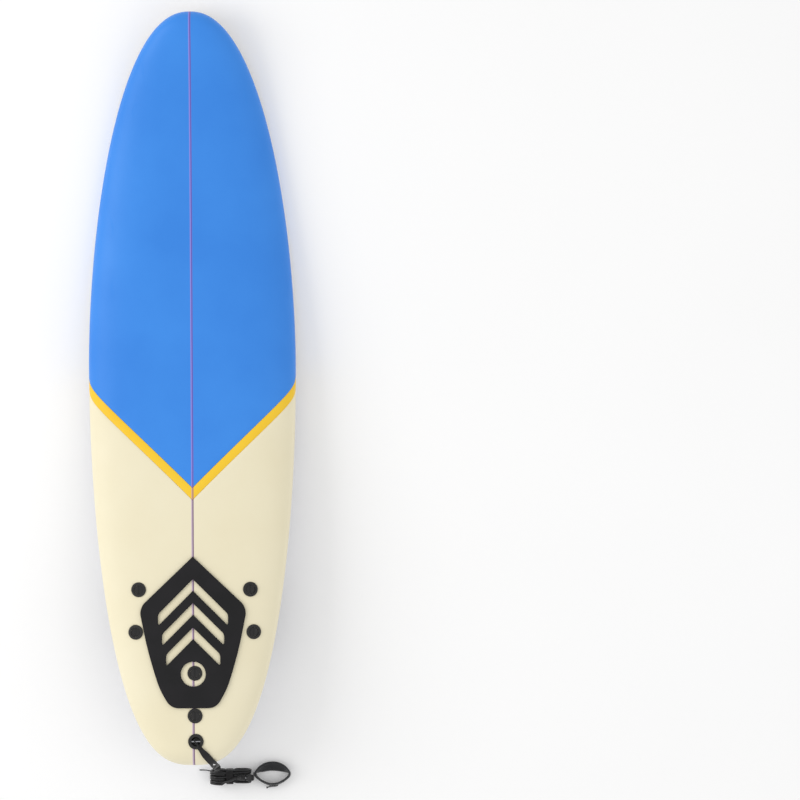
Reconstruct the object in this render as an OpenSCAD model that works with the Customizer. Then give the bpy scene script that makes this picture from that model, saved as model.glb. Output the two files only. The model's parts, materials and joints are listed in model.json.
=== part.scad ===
// Soft-top surfboard, resting on its two side fins and its belly, with a coiled leash on the floor.
// Millimetres. +X to the nose, +Z up, origin on the floor under the middle of the board.
// The board itself is drawn level, then set down in its resting position by at_rest().

/* [Board] */
// Length from nose to tail
board_l = 1700; // [1690:1:1710]
// Width at the widest point
board_w = 468; // [460:1:476]
// Greatest thickness
board_t = 80; // [76:1:84]
// Widest point ahead of the middle
wide_x = 50; // [30:5:70]
// Lift of the bottom at the nose
nose_lift = 105; // [95:1:115]
// Start of the nose curve ahead of the middle
nose_start = 110; // [100:5:130]
// Start of the straight tail incline, behind the middle
tail_start = -120; // [-140:5:-110]
// Angle of the tail incline
tail_angle = 1.8; // [1.6:0.1:2.0]
// Thickness lost between the thickest point and the nose
nose_thin = 29; // [26:1:32]
// Thickness lost between the thickest point and the tail
tail_thin = 27; // [24:1:30]
// Length of the rounding at each end
end_round_l = 44; // [38:1:50]
// Fullness of the rails, 2 is an ellipse
rail_power = 3; // [2.6:0.1:3.4]

/* [Layers] */
// Thickness of the foam deck skin
deck_skin_t = 5; // [4:0.5:6]
// Thickness of the slick bottom skin
slick_t = 3; // [2.5:0.5:3.5]
// Thickness of the plywood stringer
stringer_t = 5; // [4:0.5:6]
// Gap taken by glue between layers
glue = 0.4; // [0.3:0.1:0.6]
// Point of the coloured V behind the middle
stripe_x = -223; // [-230:1:-215]
// Length of the stripe along the board
stripe_l = 28; // [24:1:32]

/* [Traction pad] */
// Apex of the pad behind the middle
pad_apex_x = -382; // [-386:1:-378]
// Length of the pad
pad_l = 338; // [334:1:340]
// Thickness of the pad
pad_t = 5; // [4:0.5:6]
// Diameter of the hole round the front centre fin screw
pad_ring_d = 56; // [54:1:58]

/* [Fins] */
// Length of the fin flange
flange_l = 146; // [144:1:148]
// Width of the fin flange
flange_w = 26; // [24:1:28]
// Thickness of the fin flange
flange_t = 3; // [2.5:0.5:3.5]
// Chord of the blade at its root
root_chord = 117; // [115:1:119]
// Depth of the blade below the flange
blade_depth = 113; // [110:1:116]
// Greatest thickness of the blade at its root
blade_t = 9; // [8:0.5:10]
// Distance between the two posts of a fin
post_gap = 96; // [95:0.5:97]
// Middle of the side fins' posts behind the middle of the board
side_fin_x = -502; // [-504:1:-500]
// Middle of the side fins' posts from the centreline
side_fin_y = 129.5; // [128:0.5:131]
// All fin fixings stand this far to the left of the centreline
fixing_y = -3.5; // [-4:0.5:0]
// Toe-in of the side fins
toe_in = 4.2; // [3.8:0.1:4.4]
// Outward lean of the side fins
cant = 4; // [3:0.5:5]
// Middle of the centre fin's posts behind the middle of the board
centre_fin_x = -691; // [-692:1:-690]

/* [Fin fixings] */
// Diameter of the screw shank
shank_d = 8; // [7.5:0.5:8]
// Diameter of the screw head
head_d = 20; // [19:0.5:20]
// Outer diameter of the deck washer
washer_d = 33.5; // [32:0.5:34]
// Outer diameter of the sleeve through the foam
sleeve_d = 20; // [19:0.5:20]
// Diameter of a fin post
post_d = 14; // [13.5:0.5:14]
// Height of a fin post above the slick skin's lower face
post_h = 24; // [22:1:26]

/* [Leash plug] */
// Leash plug behind the middle of the board
plug_x = -797; // [-799:1:-795]
// Leash plug from the centreline
plug_y = -5; // [-6:1:-4]
// Diameter of the plug's deck rim
plug_rim_d = 35; // [34:0.5:36]
// Diameter of the plug's bottom disc
plug_base_d = 41; // [40:0.5:42]

/* [Leash] */
// Diameter of the leash cord
cord_d = 5.5; // [5:0.1:5.6]
// Width of the rail saver webbing
saver_w = 16; // [15:0.5:17]
// Thickness of the rail saver webbing
saver_t = 3; // [2.5:0.5:3.5]
// Width of the ankle cuff band
cuff_w = 24; // [22:1:25]
// Thickness of the ankle cuff band
cuff_t = 5; // [4:0.5:5.5]

/* [Hidden] */
$fn = 48;
half_l = board_l / 2;
thick_x = 200;
nose_p = 1.87;
nose_q = 2.2;
tail_p = 1.93;
tail_q = 2.7;
nose_curve = 2.8;
side_steps = 14;
across = 2 * side_steps;
tip_gap = 0.01;
clear = 0.05;

// ---- Shape of the board, level, with the flat of its bottom at z = 0 ----

// Half width at x of an outline that stands grow outside the board's own
function half_width(x, grow = 0) =
    let (nose = x > wide_x,
         reach = nose ? half_l + grow - wide_x : half_l + grow + wide_x,
         u = min(1, abs(x - wide_x) / reach))
    (board_w / 2 + grow) * pow(1 - pow(u, nose ? nose_p : tail_p), 1 / (nose ? nose_q : tail_q));

// Height of the bottom: a power curve to the nose, flat in the middle, a straight incline at the tail
function rocker(x) =
    x > nose_start ? nose_lift * pow((x - nose_start) / (half_l - nose_start), nose_curve)
    : x < tail_start ? (tail_start - x) * tan(tail_angle)
    : 0;

// Thickness before the ends are rounded
function plain_thickness(x) =
    x < thick_x ? board_t - tail_thin * pow((thick_x - x) / (thick_x + half_l), 1.15)
    : board_t - nose_thin * pow((x - thick_x) / (half_l - thick_x), 1.7);

// Share of the thickness left at x, falling to nothing at the tip
function end_rounding(x, grow = 0) =
    let (d = half_l + grow - abs(x))
    d >= end_round_l ? 1 : pow(1 - pow(1 - max(0, d) / end_round_l, 2.2), 1 / 2.2);

// Height of the deck surface at a place that lies inset below it
function deck_z(x, y, inset = 0) =
    rocker(x) + slick_t + glue
    + (plain_thickness(x) - slick_t - glue - inset) * end_rounding(x, -inset)
      * pow(max(0, 1 - pow(min(1, abs(y) / half_width(x, -inset)), rail_power)), 1 / rail_power);

// Station angles run from the right bottom edge over the deck to the left one, closest at the rails
function half_angle(c) = c < 0.5 ? 90 - 45 * pow(2 * c, 1.5) : 45 * pow(2 * (1 - c), 1.5);
function station(j) =
    let (c = abs(j - side_steps) / side_steps)
    j < side_steps ? half_angle(c) : 180 - half_angle(c);

// Point j of the cross-section at x
function deck_point(x, j, inset = 0) =
    let (a = station(j), side = cos(a) < 0 ? 1 : -1,
         y = side * half_width(x, -inset) * pow(abs(cos(a)), 2 / rail_power),
         h = (plain_thickness(x) - slick_t - glue - inset) * end_rounding(x, -inset))
    [x, y, rocker(x) + slick_t + glue + h * pow(max(0, sin(a)), 2 / rail_power)];

// Distance over the deck from the centreline to point j, taken where the V lies
function girth_to(j) =
    j == side_steps ? 0
    : let (step = j > side_steps ? -1 : 1)
      norm(deck_point(stripe_x, j) - deck_point(stripe_x, j + step)) + girth_to(j + step);
girths = [for (j = [0:across]) girth_to(j)];
function v_line(j) = stripe_x + girths[j];

// ---- Solids made from rows of points ----

function flat_list(rows) = [for (row = rows) each row];

// Closed rings of equal length joined in a row, with a flat cap at each end
module loft(rings) {
    n = len(rings[0]);
    m = len(rings);
    sides = [for (i = [0:m - 2]) for (j = [0:n - 1])
        let (a = i * n + j, b = i * n + (j + 1) % n) each [[a, b, b + n], [a, b + n, a + n]]];
    polyhedron(flat_list(rings), concat([[for (j = [n - 1:-1:0]) j]], sides,
        [[for (j = [0:n - 1]) (m - 1) * n + j]]));
}

// A skin between two sheets of points
module skin(outer, inner) {
    n = len(outer[0]);
    m = len(outer);
    k = n * m;
    function quad(a, b, c, d) = [[a, b, c], [a, c, d]];
    faces = [
        for (i = [0:m - 2]) for (j = [0:n - 2])
            let (a = i * n + j) each concat(quad(a, a + 1, a + n + 1, a + n),
                quad(k + a, k + a + n, k + a + n + 1, k + a + 1)),
        for (i = [0:m - 2])
            let (a = i * n, b = i * n + n - 1) each concat(quad(a, a + n, k + a + n, k + a),
                quad(b + n, b, k + b, k + b + n)),
        for (j = [0:n - 2])
            let (a = j, b = (m - 1) * n + j) each concat(quad(a + 1, a, k + a, k + a + 1),
                quad(b, b + 1, k + b + 1, k + b))];
    polyhedron(concat(flat_list(outer), flat_list(inner)), faces);
}

// Rings joined into a closed loop
module ring_loop(rings) {
    n = len(rings[0]);
    m = len(rings);
    polyhedron(flat_list(rings), [for (i = [0:m - 1]) for (j = [0:n - 1])
        let (p = i * n, q = ((i + 1) % m) * n, k = (j + 1) % n)
        each [[p + j, p + k, q + k], [p + j, q + k, q + j]]]);
}

// ---- Resting position: nose down until the belly touches, on the side fins' tips ----

function unit(v) = v / norm(v);
tip_r = 16.5;
side_fin_bottom = rocker(side_fin_x + 9);
// Centre of the side fins' tip arc, level board
tip_x = side_fin_x + 9 - 101.5 * cos(tail_angle);
tip_z = side_fin_bottom - (flange_t + 98.5) * cos(cant);
curve_scale = nose_lift * nose_curve / (half_l - nose_start);
function belly_x(a) = nose_start + (half_l - nose_start) * pow(tan(a) / curve_scale, 1 / (nose_curve - 1));
function settle(a, n) =
    n == 0 ? a
    : settle(atan((rocker(belly_x(a)) - tip_z + tip_r / cos(a)) / (belly_x(a) - tip_x)), n - 1);
rest_tilt = settle(6, 12);
rest_lift = belly_x(rest_tilt) * sin(rest_tilt) - rocker(belly_x(rest_tilt)) * cos(rest_tilt);
edge_x = [for (d = [0:2:60]) half_l - d];
nose_reach = max([for (x = edge_x) x * cos(rest_tilt) + deck_z(x, 0) * sin(rest_tilt)]);
tail_reach = min([for (x = edge_x) -x * cos(rest_tilt) + rocker(-x) * sin(rest_tilt)]);
rest_shift = -(nose_reach + tail_reach) / 2;

module at_rest() {
    translate([rest_shift, 0, rest_lift]) rotate([0, rest_tilt, 0]) children();
}

function rested(p) =
    [rest_shift + p.x * cos(rest_tilt) + p.z * sin(rest_tilt), p.y,
     rest_lift - p.x * sin(rest_tilt) + p.z * cos(rest_tilt)];

// ---- Fixings stand square to the tail incline ----

// Thickness of the board above the bottom at a fixing
function deck_height(x, y) = (deck_z(x, y) - rocker(x)) / cos(tail_angle);
function deck_roll(x, y) = atan(deck_z(x, y + 0.5) - deck_z(x, y - 0.5));
function deck_pitch(x, y) = -atan(deck_z(x + 0.5, y) - deck_z(x - 0.5, y)) - tail_angle;

module on_bottom(x, y) {
    translate([x, y, rocker(x)]) rotate([0, tail_angle, 0]) children();
}

// The two posts of each fin: front, rear
function posts(x, y, turn) = [for (s = [1, -1])
    [x + s * post_gap / 2 * cos(turn), y + s * post_gap / 2 * sin(turn)]];
left_posts = posts(side_fin_x, fixing_y + side_fin_y, -toe_in);
right_posts = posts(side_fin_x, fixing_y - side_fin_y, toe_in);
centre_posts = posts(centre_fin_x, fixing_y, 0);
all_posts = concat(left_posts, right_posts, centre_posts);

module fixing_holes(d) {
    at_rest() {
        for (p = all_posts) on_bottom(p.x, p.y) translate([0, 0, -10]) cylinder(d = d, h = 120);
    }
}

plug_h = deck_height(plug_x, plug_y);
plug_depth = 24;
plug_body_d = 26;
plug_stem_d = 12;

module plug_hole() {
    at_rest() on_bottom(plug_x, plug_y) {
        translate([0, 0, plug_h - plug_depth - 2 * clear]) cylinder(d = plug_body_d + 4 * clear, h = 60);
        translate([0, 0, -10]) cylinder(d = plug_stem_d + 4 * clear, h = 80);
    }
}

// ---- Board ----

blank_steps = 44;
// Gap under the deck skin, room for the flats of both
under_skin = 1;
blank_inset = deck_skin_t + under_skin;
blank_end = half_l - blank_inset - 2;

// Foam on one side of the stringer, left side drawn
module foam_half() {
    y_in = stringer_t / 2 + glue;
    rings = [for (i = [0:blank_steps])
        let (x = blank_end * sin(180 * i / blank_steps - 90), floor_z = rocker(x) + slick_t + glue)
        concat([[x, y_in, floor_z]],
            [for (j = [side_steps:across - 1])
                let (p = deck_point(x, j, blank_inset)) [p.x, max(y_in, p.y), p.z]],
            [[x, half_width(x, -blank_inset), floor_z]])];
    at_rest() loft([for (r = rings) [for (k = [len(r) - 1:-1:0]) r[k]]]);
}

module left_foam_blank() {
    color("white") difference() {
        foam_half();
        fixing_holes(sleeve_d + 4 * clear);
        plug_hole();
    }
}

module right_foam_blank() {
    color("white") difference() {
        mirror([0, 1, 0]) foam_half();
        fixing_holes(sleeve_d + 4 * clear);
        plug_hole();
    }
}

module stringer() {
    xs = [for (i = [0:blank_steps]) blank_end * sin(180 * i / blank_steps - 90)];
    outline = concat([for (x = xs) [x, rocker(x) + slick_t + glue]],
        [for (i = [blank_steps:-1:0]) [xs[i], deck_z(xs[i], 0, blank_inset)]]);
    color("burlywood") difference() {
        at_rest() rotate([90, 0, 0]) linear_extrude(stringer_t, center = true) polygon(outline);
        fixing_holes(sleeve_d + 4 * clear);
        plug_hole();
    }
}

// Deck skin from one row of x values to another, one pair for each station across
module deck_part(x_rows_outer, x_rows_inner) {
    at_rest() skin(
        [for (row = x_rows_outer) [for (j = [0:across]) deck_point(row[j], j)]],
        [for (row = x_rows_inner) [for (j = [0:across]) deck_point(row[j], j, deck_skin_t)]]);
}

nose_steps = 22;
tail_steps = 22;
nose_tip = half_l - tip_gap;

module nose_deck_skin() {
    function rows(tip) = [for (i = [0:nose_steps]) [for (j = [0:across])
        v_line(j) + (tip - v_line(j)) * sin(90 * i / nose_steps)]];
    color([0.25, 0.55, 0.91]) deck_part(rows(nose_tip), rows(nose_tip - deck_skin_t));
}

module deck_stripe() {
    rows = [for (i = [0:2]) [for (j = [0:across])
        v_line(j) - glue - (stripe_l - 2 * glue) * (1 - i / 2)]];
    color([0.97, 0.80, 0.15]) deck_part(rows, rows);
}

module tail_deck_skin() {
    function rows(tip) = [for (i = [0:tail_steps]) [for (j = [0:across])
        -tip + (v_line(j) - stripe_l + tip) * (1 - cos(90 * i / tail_steps))]];
    color([0.95, 0.91, 0.80]) difference() {
        deck_part(rows(nose_tip), rows(nose_tip - deck_skin_t));
        fixing_holes(head_d + 1);
        plug_hole();
    }
}

outline_steps = 48;
profile_steps = 30;

// Slick sheet: its side profile cut to the board's outline
module bottom_skin() {
    xs = [for (i = [0:profile_steps]) nose_start + (half_l + 1 - nose_start) * i / profile_steps];
    line = concat([[-half_l - 1, rocker(-half_l - 1)], [tail_start, 0]], [for (x = xs) [x, rocker(x)]]);
    up = [for (i = [len(line) - 1:-1:0]) line[i] + [0, slick_t]];
    side_x = [for (i = [0:outline_steps]) wide_x + (half_l - wide_x) * sin(90 * i / outline_steps)];
    tail_x = [for (i = [0:outline_steps]) wide_x - (half_l + wide_x) * sin(90 * i / outline_steps)];
    left = concat([for (i = [outline_steps:-1:0]) [side_x[i], half_width(side_x[i])]],
        [for (i = [1:outline_steps]) [tail_x[i], half_width(tail_x[i])]]);
    right = [for (i = [len(left) - 2:-1:1]) [left[i].x, -left[i].y]];
    color([0.84, 0.84, 0.86]) difference() {
        at_rest() intersection() {
            rotate([90, 0, 0]) linear_extrude(board_w + 20, center = true) polygon(concat(line, up));
            translate([0, 0, -20]) linear_extrude(nose_lift + 60) polygon(concat(left, right));
        }
        fixing_holes(sleeve_d + 4 * clear);
        plug_hole();
    }
}

// ---- Traction pad ----

pad_cols = 18;
pad_rows = 22;

module pad_outline() {
    half = [[4, 0], [-112, 122], [-256, 93], [-318, 68], [-pad_l, 52]];
    offset(r = 15) offset(delta = -15)
        polygon(concat(half, [for (i = [len(half) - 1:-1:1]) [half[i].x, -half[i].y]]));
}

// Chevron slot: two arms from an apex that lies d behind the pad's apex
module chevron(d, reach) {
    arm = 26;
    offset(r = 4) offset(delta = -4)
        polygon([[-d, 0], [-d - reach, reach], [-d - reach - arm, reach], [-d - arm, 0],
                 [-d - reach - arm, -reach], [-d - reach, -reach]]);
}

module traction_pad() {
    x0 = pad_apex_x - pad_l - 4;
    x1 = pad_apex_x + 8;
    half = 126;
    function sheet(h) = [for (i = [0:pad_rows]) [for (j = [0:pad_cols])
        let (x = x0 + (x1 - x0) * i / pad_rows, y = half * (2 * j / pad_cols - 1))
        [x, y, deck_z(x, y) + h]]];
    color([0.16, 0.16, 0.17]) at_rest() intersection() {
        skin(sheet(pad_t + glue), sheet(glue));
        linear_extrude(200) difference() {
            translate([pad_apex_x, 0]) pad_outline();
            for (s = [[47, 79], [101, 70], [156, 61]]) translate([pad_apex_x, 0]) chevron(s[0], s[1]);
            translate([centre_posts[0].x, 0]) circle(d = pad_ring_d);
        }
    }
}

// ---- Fins ----

blade_rows = [0, 0.12, 0.25, 0.38, 0.5, 0.6, 0.68, 0.73, 0.755, 0.775, 0.80, 0.84, 0.88, 0.92, 0.95, 0.975,
              0.99, 1];
blade_cols = 7;
tip_mid_d = 98.5;
lead_reach = 143;
tip_mid_x = 158.5;

// Leading and trailing edge at depth d below the flange, behind the front of the root
function lead_edge(d) = lead_reach * (1 - sqrt(1 - d / (blade_depth + 2)));
function trail_edge(d) =
    d < tip_mid_d - 13 ? root_chord - 1 + 36 * pow(max(0, d - 14) / 69, 2.2)
    : tip_mid_x + sqrt(max(0, tip_r * tip_r - pow(d - tip_mid_d, 2)));

// Half thickness of the foil at share u of the chord
function foil(u, t) = t * (1.48 * sqrt(u) - 0.98 * u - 0.5 * u * u * u) / 1.1 + 0.5;

module blade() {
    root_x = 57;
    rings = [for (v = blade_rows)
        let (d = v * blade_depth, a = lead_edge(d), c = trail_edge(d) - a,
             t = blade_t / 2 * (1 - 0.62 * v) - 0.5,
             left = [for (k = [0:blade_cols])
                 let (u = pow(k / blade_cols, 1.6)) [root_x - a - c * u, foil(u, t), -d]])
        concat(left, [for (k = [blade_cols:-1:0]) [left[k].x, -left[k].y, -d]])];
    loft(rings);
}

// One-piece fin: flange, blade that leans by lean, and two hollow posts; x is the posts' middle
module fin(x, y, turn, lean) {
    post_shift = 9;
    at_rest() on_bottom(x, y) rotate([0, 0, turn]) difference() {
        union() {
            translate([post_shift, 0, -flange_t]) linear_extrude(flange_t) hull() {
                for (s = [-1, 1]) translate([s * (flange_l - flange_w) / 2, 0]) circle(d = flange_w);
            }
            translate([post_shift, 0, -flange_t + 0.2]) rotate([lean, 0, 0]) blade();
            for (s = [-1, 1]) translate([s * post_gap / 2, 0, -flange_t / 2])
                cylinder(d = post_d, h = post_h + flange_t / 2);
        }
        for (s = [-1, 1]) translate([s * post_gap / 2, 0, insert_from - clear])
            cylinder(d = insert_d + 2 * clear, h = post_h);
    }
}

insert_d = 11;

module left_fin() { color([0.09, 0.09, 0.1]) fin(side_fin_x, fixing_y + side_fin_y, -toe_in, cant); }
module right_fin() { color([0.09, 0.09, 0.1]) fin(side_fin_x, fixing_y - side_fin_y, toe_in, -cant); }
module centre_fin() { color([0.09, 0.09, 0.1]) fin(centre_fin_x, fixing_y, 0, 0); }

// ---- Fin fixings ----

head_drop = 2.4;
washer_t = 2.2;
// Height at which the inserts start in the fin posts
insert_from = 6;

module sleeves(list) {
    color("gainsboro") at_rest() for (p = list) on_bottom(p.x, p.y) difference() {
        h = deck_height(p.x, p.y);
        cylinder(d = sleeve_d, h = h - head_drop - 0.2);
        translate([0, 0, -1]) cylinder(d = post_d + 4 * clear, h = post_h + 1 + 0.2);
        cylinder(d = shank_d + 2 * clear, h = h);
    }
}

module inserts(list) {
    color("goldenrod") at_rest() for (p = list) on_bottom(p.x, p.y) translate([0, 0, insert_from])
        difference() {
            cylinder(d = insert_d, h = post_h - insert_from);
            translate([0, 0, -1]) cylinder(d = shank_d + 2 * clear, h = post_h);
        }
}

// Rings that lie on the curved deck, bored square to the incline
module washers(list) {
    color([0.11, 0.11, 0.11]) at_rest() for (p = list) on_bottom(p.x, p.y) difference() {
        h = deck_height(p.x, p.y);
        translate([0, 0, h]) rotate([deck_roll(p.x, p.y), deck_pitch(p.x, p.y), 0])
            translate([0, 0, glue]) cylinder(d = washer_d, h = washer_t);
        cylinder(d = head_d + 0.6, h = h + 20);
    }
}

module fin_screw(p) {
    h = deck_height(p.x, p.y);
    color([0.14, 0.14, 0.14]) at_rest() on_bottom(p.x, p.y) difference() {
        union() {
            translate([0, 0, 8]) cylinder(d = shank_d, h = h - head_drop - 8);
            translate([0, 0, h - head_drop]) cylinder(d = head_d, h = head_drop + washer_t);
        }
        translate([-head_d, -1.2, h + 0.8]) cube([2 * head_d, 2.4, 5]);
    }
}

module left_fin_sleeves() { sleeves(left_posts); }
module right_fin_sleeves() { sleeves(right_posts); }
module centre_fin_sleeves() { sleeves(centre_posts); }
module left_fin_inserts() { inserts(left_posts); }
module right_fin_inserts() { inserts(right_posts); }
module centre_fin_inserts() { inserts(centre_posts); }
module left_fin_washers() { washers(left_posts); }
module right_fin_washers() { washers(right_posts); }
module centre_fin_washers() { washers(centre_posts); }
module left_front_fin_screw() { fin_screw(left_posts[0]); }
module left_rear_fin_screw() { fin_screw(left_posts[1]); }
module right_front_fin_screw() { fin_screw(right_posts[0]); }
module right_rear_fin_screw() { fin_screw(right_posts[1]); }
module centre_front_fin_screw() { fin_screw(centre_posts[0]); }
module centre_rear_fin_screw() { fin_screw(centre_posts[1]); }

// ---- Leash plug ----

plug_rim_t = 2.4;
plug_base_t = 3;
// How far the base's stem goes up into the cup
plug_stem_reach = 11;
bar_d = 4;
bar_l = 23;
bar_drop = 3;
pocket_d = 20;
pocket_depth = 9;

module leash_plug_cup() {
    color([0.12, 0.12, 0.12]) at_rest() on_bottom(plug_x, plug_y) difference() {
        union() {
            translate([0, 0, plug_h - plug_depth]) cylinder(d = plug_body_d, h = plug_depth + 1);
            translate([0, 0, plug_h]) rotate([deck_roll(plug_x, plug_y), deck_pitch(plug_x, plug_y), 0])
                translate([0, 0, glue]) cylinder(d = plug_rim_d, h = plug_rim_t);
        }
        translate([0, 0, plug_h - pocket_depth]) cylinder(d = pocket_d, h = 30);
        translate([0, 0, plug_h - plug_depth - 1])
            cylinder(d = plug_stem_d + 2 * clear, h = plug_stem_reach + 1 + clear);
        translate([0, 0, plug_h - bar_drop]) rotate([90, 0, 0])
            cylinder(d = bar_d + clear, h = bar_l + 2 * clear, center = true);
    }
}

module leash_plug_bar() {
    color("silver") at_rest() on_bottom(plug_x, plug_y) translate([0, 0, plug_h - bar_drop])
        rotate([90, 0, 0]) cylinder(d = bar_d, h = bar_l, center = true);
}

module leash_plug_base() {
    color([0.12, 0.12, 0.12]) at_rest() on_bottom(plug_x, plug_y) {
        translate([0, 0, -plug_base_t]) cylinder(d = plug_base_d, h = plug_base_t);
        translate([0, 0, -1]) cylinder(d = plug_stem_d, h = plug_h - plug_depth + plug_stem_reach + 1);
    }
}

// ---- Leash, drawn where it lies ----

// Route of the string: from the saver under the plug's bar and back over it; t runs out along the saver
string_way = [[17, 209.8], [12, 210.8], [7.8, 209.8], [5.4, 205.5], [5.2, 200.3], [1.4, 196.3],
              [-3, 196.2], [-5.8, 198], [-7, 203], [-4.2, 208.8], [3, 213.2], [10, 214.1], [16, 213.1]];
saver_way = [[-805, -15, 210], [-814, -22, 209], [-824, -30, 205], [-833, -37, 198], [-841, -43, 189],
             [-848, -47, 176], [-852, -49, 162], [-855, -50, 146], [-858, -50, 128], [-861, -50, 112],
             [-863, -49, 100], [-866, -49, 90]];
lead_way = [[-874, -49, 59], [-875, -50, 53], [-877, -53, 46], [-880, -60, 39]];
cuff_lead_way = [[-908, -61, 37.5], [-907, -68, 40], [-905, -75, 42.5], [-902, -82, 44.5],
                 [-899, -89, 46], [-897, -95, 46]];
string_d = 3;
saver_turn = atan2(-35, -46);
plug_top = rested([plug_x, plug_y, deck_z(plug_x, plug_y)]);

function tangent(way, i) = unit(way[min(i + 1, len(way) - 1)] - way[max(i - 1, 0)]);

// Round tube along a route; flat is a direction that the route never follows
module tube(way, d, flat, sides = 8) {
    loft([for (i = [0:len(way) - 1])
        let (t = tangent(way, i), u = unit(cross(t, flat)), v = cross(t, u))
        [for (k = [0:sides - 1]) way[i] + d / 2 * (u * cos(360 * k / sides) + v * sin(360 * k / sides))]]);
}

module leash_string() {
    away = [cos(saver_turn), sin(saver_turn), 0];
    color([0.1, 0.1, 0.1]) tube([for (s = string_way)
        [plug_top.x + s[0] * away.x, plug_top.y + s[0] * away.y, s[1]]], string_d, cross(away, [0, 0, 1]));
}

module rail_saver() {
    across_v = [-sin(saver_turn), cos(saver_turn), 0];
    color([0.13, 0.13, 0.14]) loft([for (i = [0:len(saver_way) - 1])
        let (n = unit(cross(tangent(saver_way, i), across_v)))
        [for (c = [[1, 1], [1, -1], [-1, -1], [-1, 1]])
            saver_way[i] + across_v * saver_w / 2 * c[0] + n * saver_t / 2 * c[1]]]);
}

// Swivel pieces hang below the origin along -z
swivel_pin_d = 4;
swivel_d = 14;
pin_head_d = 9;

module swivel_yoke_shape(bar_w) {
    difference() {
        union() {
            translate([0, 0, -12]) cylinder(d = swivel_d, h = 10);
            translate([-5, -bar_w / 2, -5]) cube([10, bar_w, 5]);
        }
        translate([0, 0, -10.3]) cylinder(d = pin_head_d + 0.6, h = 3.2);
        translate([0, 0, -13]) cylinder(d = swivel_pin_d + 2 * clear, h = 4);
    }
}

module swivel_pin_shape() {
    translate([0, 0, -20.5]) cylinder(d = swivel_pin_d, h = 12);
    translate([0, 0, -10]) cylinder(d = pin_head_d, h = 2.5);
    translate([0, 0, -20.5]) cylinder(d = pin_head_d, h = 2.5);
}

// Ribbed moulding over the end of the cord
module cord_end_shape() {
    difference() {
        union() {
            translate([0, 0, -24]) cylinder(d = 13, h = 10);
            rotate_extrude() polygon([[0, -32], [4.2, -32], [6, -23], [0, -23]]);
        }
        for (z = [-17, -20, -23]) translate([0, 0, z]) difference() {
            cylinder(d = 20, h = 1.2);
            translate([0, 0, -1]) cylinder(d = 11.6, h = 4);
        }
        translate([0, 0, -20.8]) cylinder(d = pin_head_d + 0.6, h = 3.1);
        translate([0, 0, -18]) cylinder(d = swivel_pin_d + 2 * clear, h = 5);
    }
}

saver_swivel_at = [-866, -49, 90];
saver_swivel_lean = 14;
cuff_swivel_at = [-897, -127, 46];

module at_saver_swivel() { translate(saver_swivel_at) rotate([0, saver_swivel_lean, 0]) children(); }
module at_cuff_swivel() { translate(cuff_swivel_at) rotate([90, 0, 0]) children(); }

module saver_swivel_yoke() { color([0.1, 0.1, 0.1]) at_saver_swivel() swivel_yoke_shape(18); }
module saver_swivel_pin() { color("silver") at_saver_swivel() swivel_pin_shape(); }
module saver_cord_end() { color([0.12, 0.12, 0.12]) at_saver_swivel() cord_end_shape(); }
module cuff_swivel_yoke() {
    color([0.1, 0.1, 0.1]) at_cuff_swivel() rotate([0, 0, 90]) swivel_yoke_shape(18);
}
module cuff_swivel_pin() { color("silver") at_cuff_swivel() swivel_pin_shape(); }
module cuff_cord_end() { color([0.12, 0.12, 0.12]) at_cuff_swivel() cord_end_shape(); }
module leash_lead() { color([0.1, 0.1, 0.1]) tube(lead_way, cord_d, [1, 0, 0]); }
module cuff_lead() { color([0.1, 0.1, 0.1]) tube(cuff_lead_way, cord_d, [1, 0, 0]); }

// Hank: cord folded in upright turns side by side, drawn in by its tie
turn_r = 3 * cord_d;
hank_h = 2 * turn_r + cord_d;
hank_l = 95;
hank_w = 36;
hank_at = [-897, -79.5, hank_h / 2];
tie_w = 16;
tie_t = 1.6;
waist = [hank_w - 4, tie_w + 1, hank_h - 9];
tie_y = 2;
tie_string_d = 2.4;

module leash_hank() {
    color([0.1, 0.1, 0.1]) translate(hank_at) difference() {
        rotate([90, 0, 90]) linear_extrude(hank_w, center = true) {
            square([hank_l - hank_h, hank_h], center = true);
            for (s = [-1, 1]) translate([s * (hank_l - hank_h) / 2, 0]) circle(d = hank_h);
        }
        translate([0, tie_y, 0]) difference() {
            cube([hank_w + 10, tie_w + 1, hank_h + 10], center = true);
            cube(waist, center = true);
        }
    }
}

module hank_tie() {
    color([0.15, 0.15, 0.15]) translate(hank_at + [0, tie_y, 0]) difference() {
        cube([waist.x + 2 * tie_t, tie_w, waist.z + 2 * tie_t], center = true);
        cube(waist, center = true);
    }
}

// Loose end of the tie's string, from inside the hank
module tie_string() {
    way = [[-886, -40, 12], [-885.5, -32, 11], [-884.5, -22, 7.5], [-885, -9, 3]];
    color([0.1, 0.1, 0.1]) tube(way, tie_string_d, [0, 0, 1]);
}

// Ankle cuff: a band that stands on its edge and lies over towards the board
cuff_at = [-893, -174.5];
cuff_long = 39;
cuff_near = 17;
cuff_far = 27;
cuff_lean = 68;
cuff_steps = 40;

function cuff_ring(f) =
    let (up = sin(f) > 0, lean = up ? cuff_lean * pow(sin(f), 1.5) : 0,
         out = unit([sin(f) / (up ? cuff_near : cuff_far), cos(f) / cuff_long, 0]),
         mid = [cuff_at.x + (up ? cuff_near : cuff_far) * sin(f), cuff_at.y + cuff_long * cos(f),
                0.2 + cuff_w / 2 * cos(lean) + cuff_t / 2 * sin(lean)],
         w = [0, 0, cos(lean)] + out * sin(lean), t = out * cos(lean) - [0, 0, sin(lean)])
    [for (c = [[1, 1], [-1, 1], [-1, -1], [1, -1]]) mid + w * cuff_w / 2 * c[0] + t * cuff_t / 2 * c[1]];

module ankle_cuff() {
    color([0.17, 0.17, 0.18]) ring_loop([for (i = [0:cuff_steps - 1]) cuff_ring(360 * i / cuff_steps)]);
}

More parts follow.
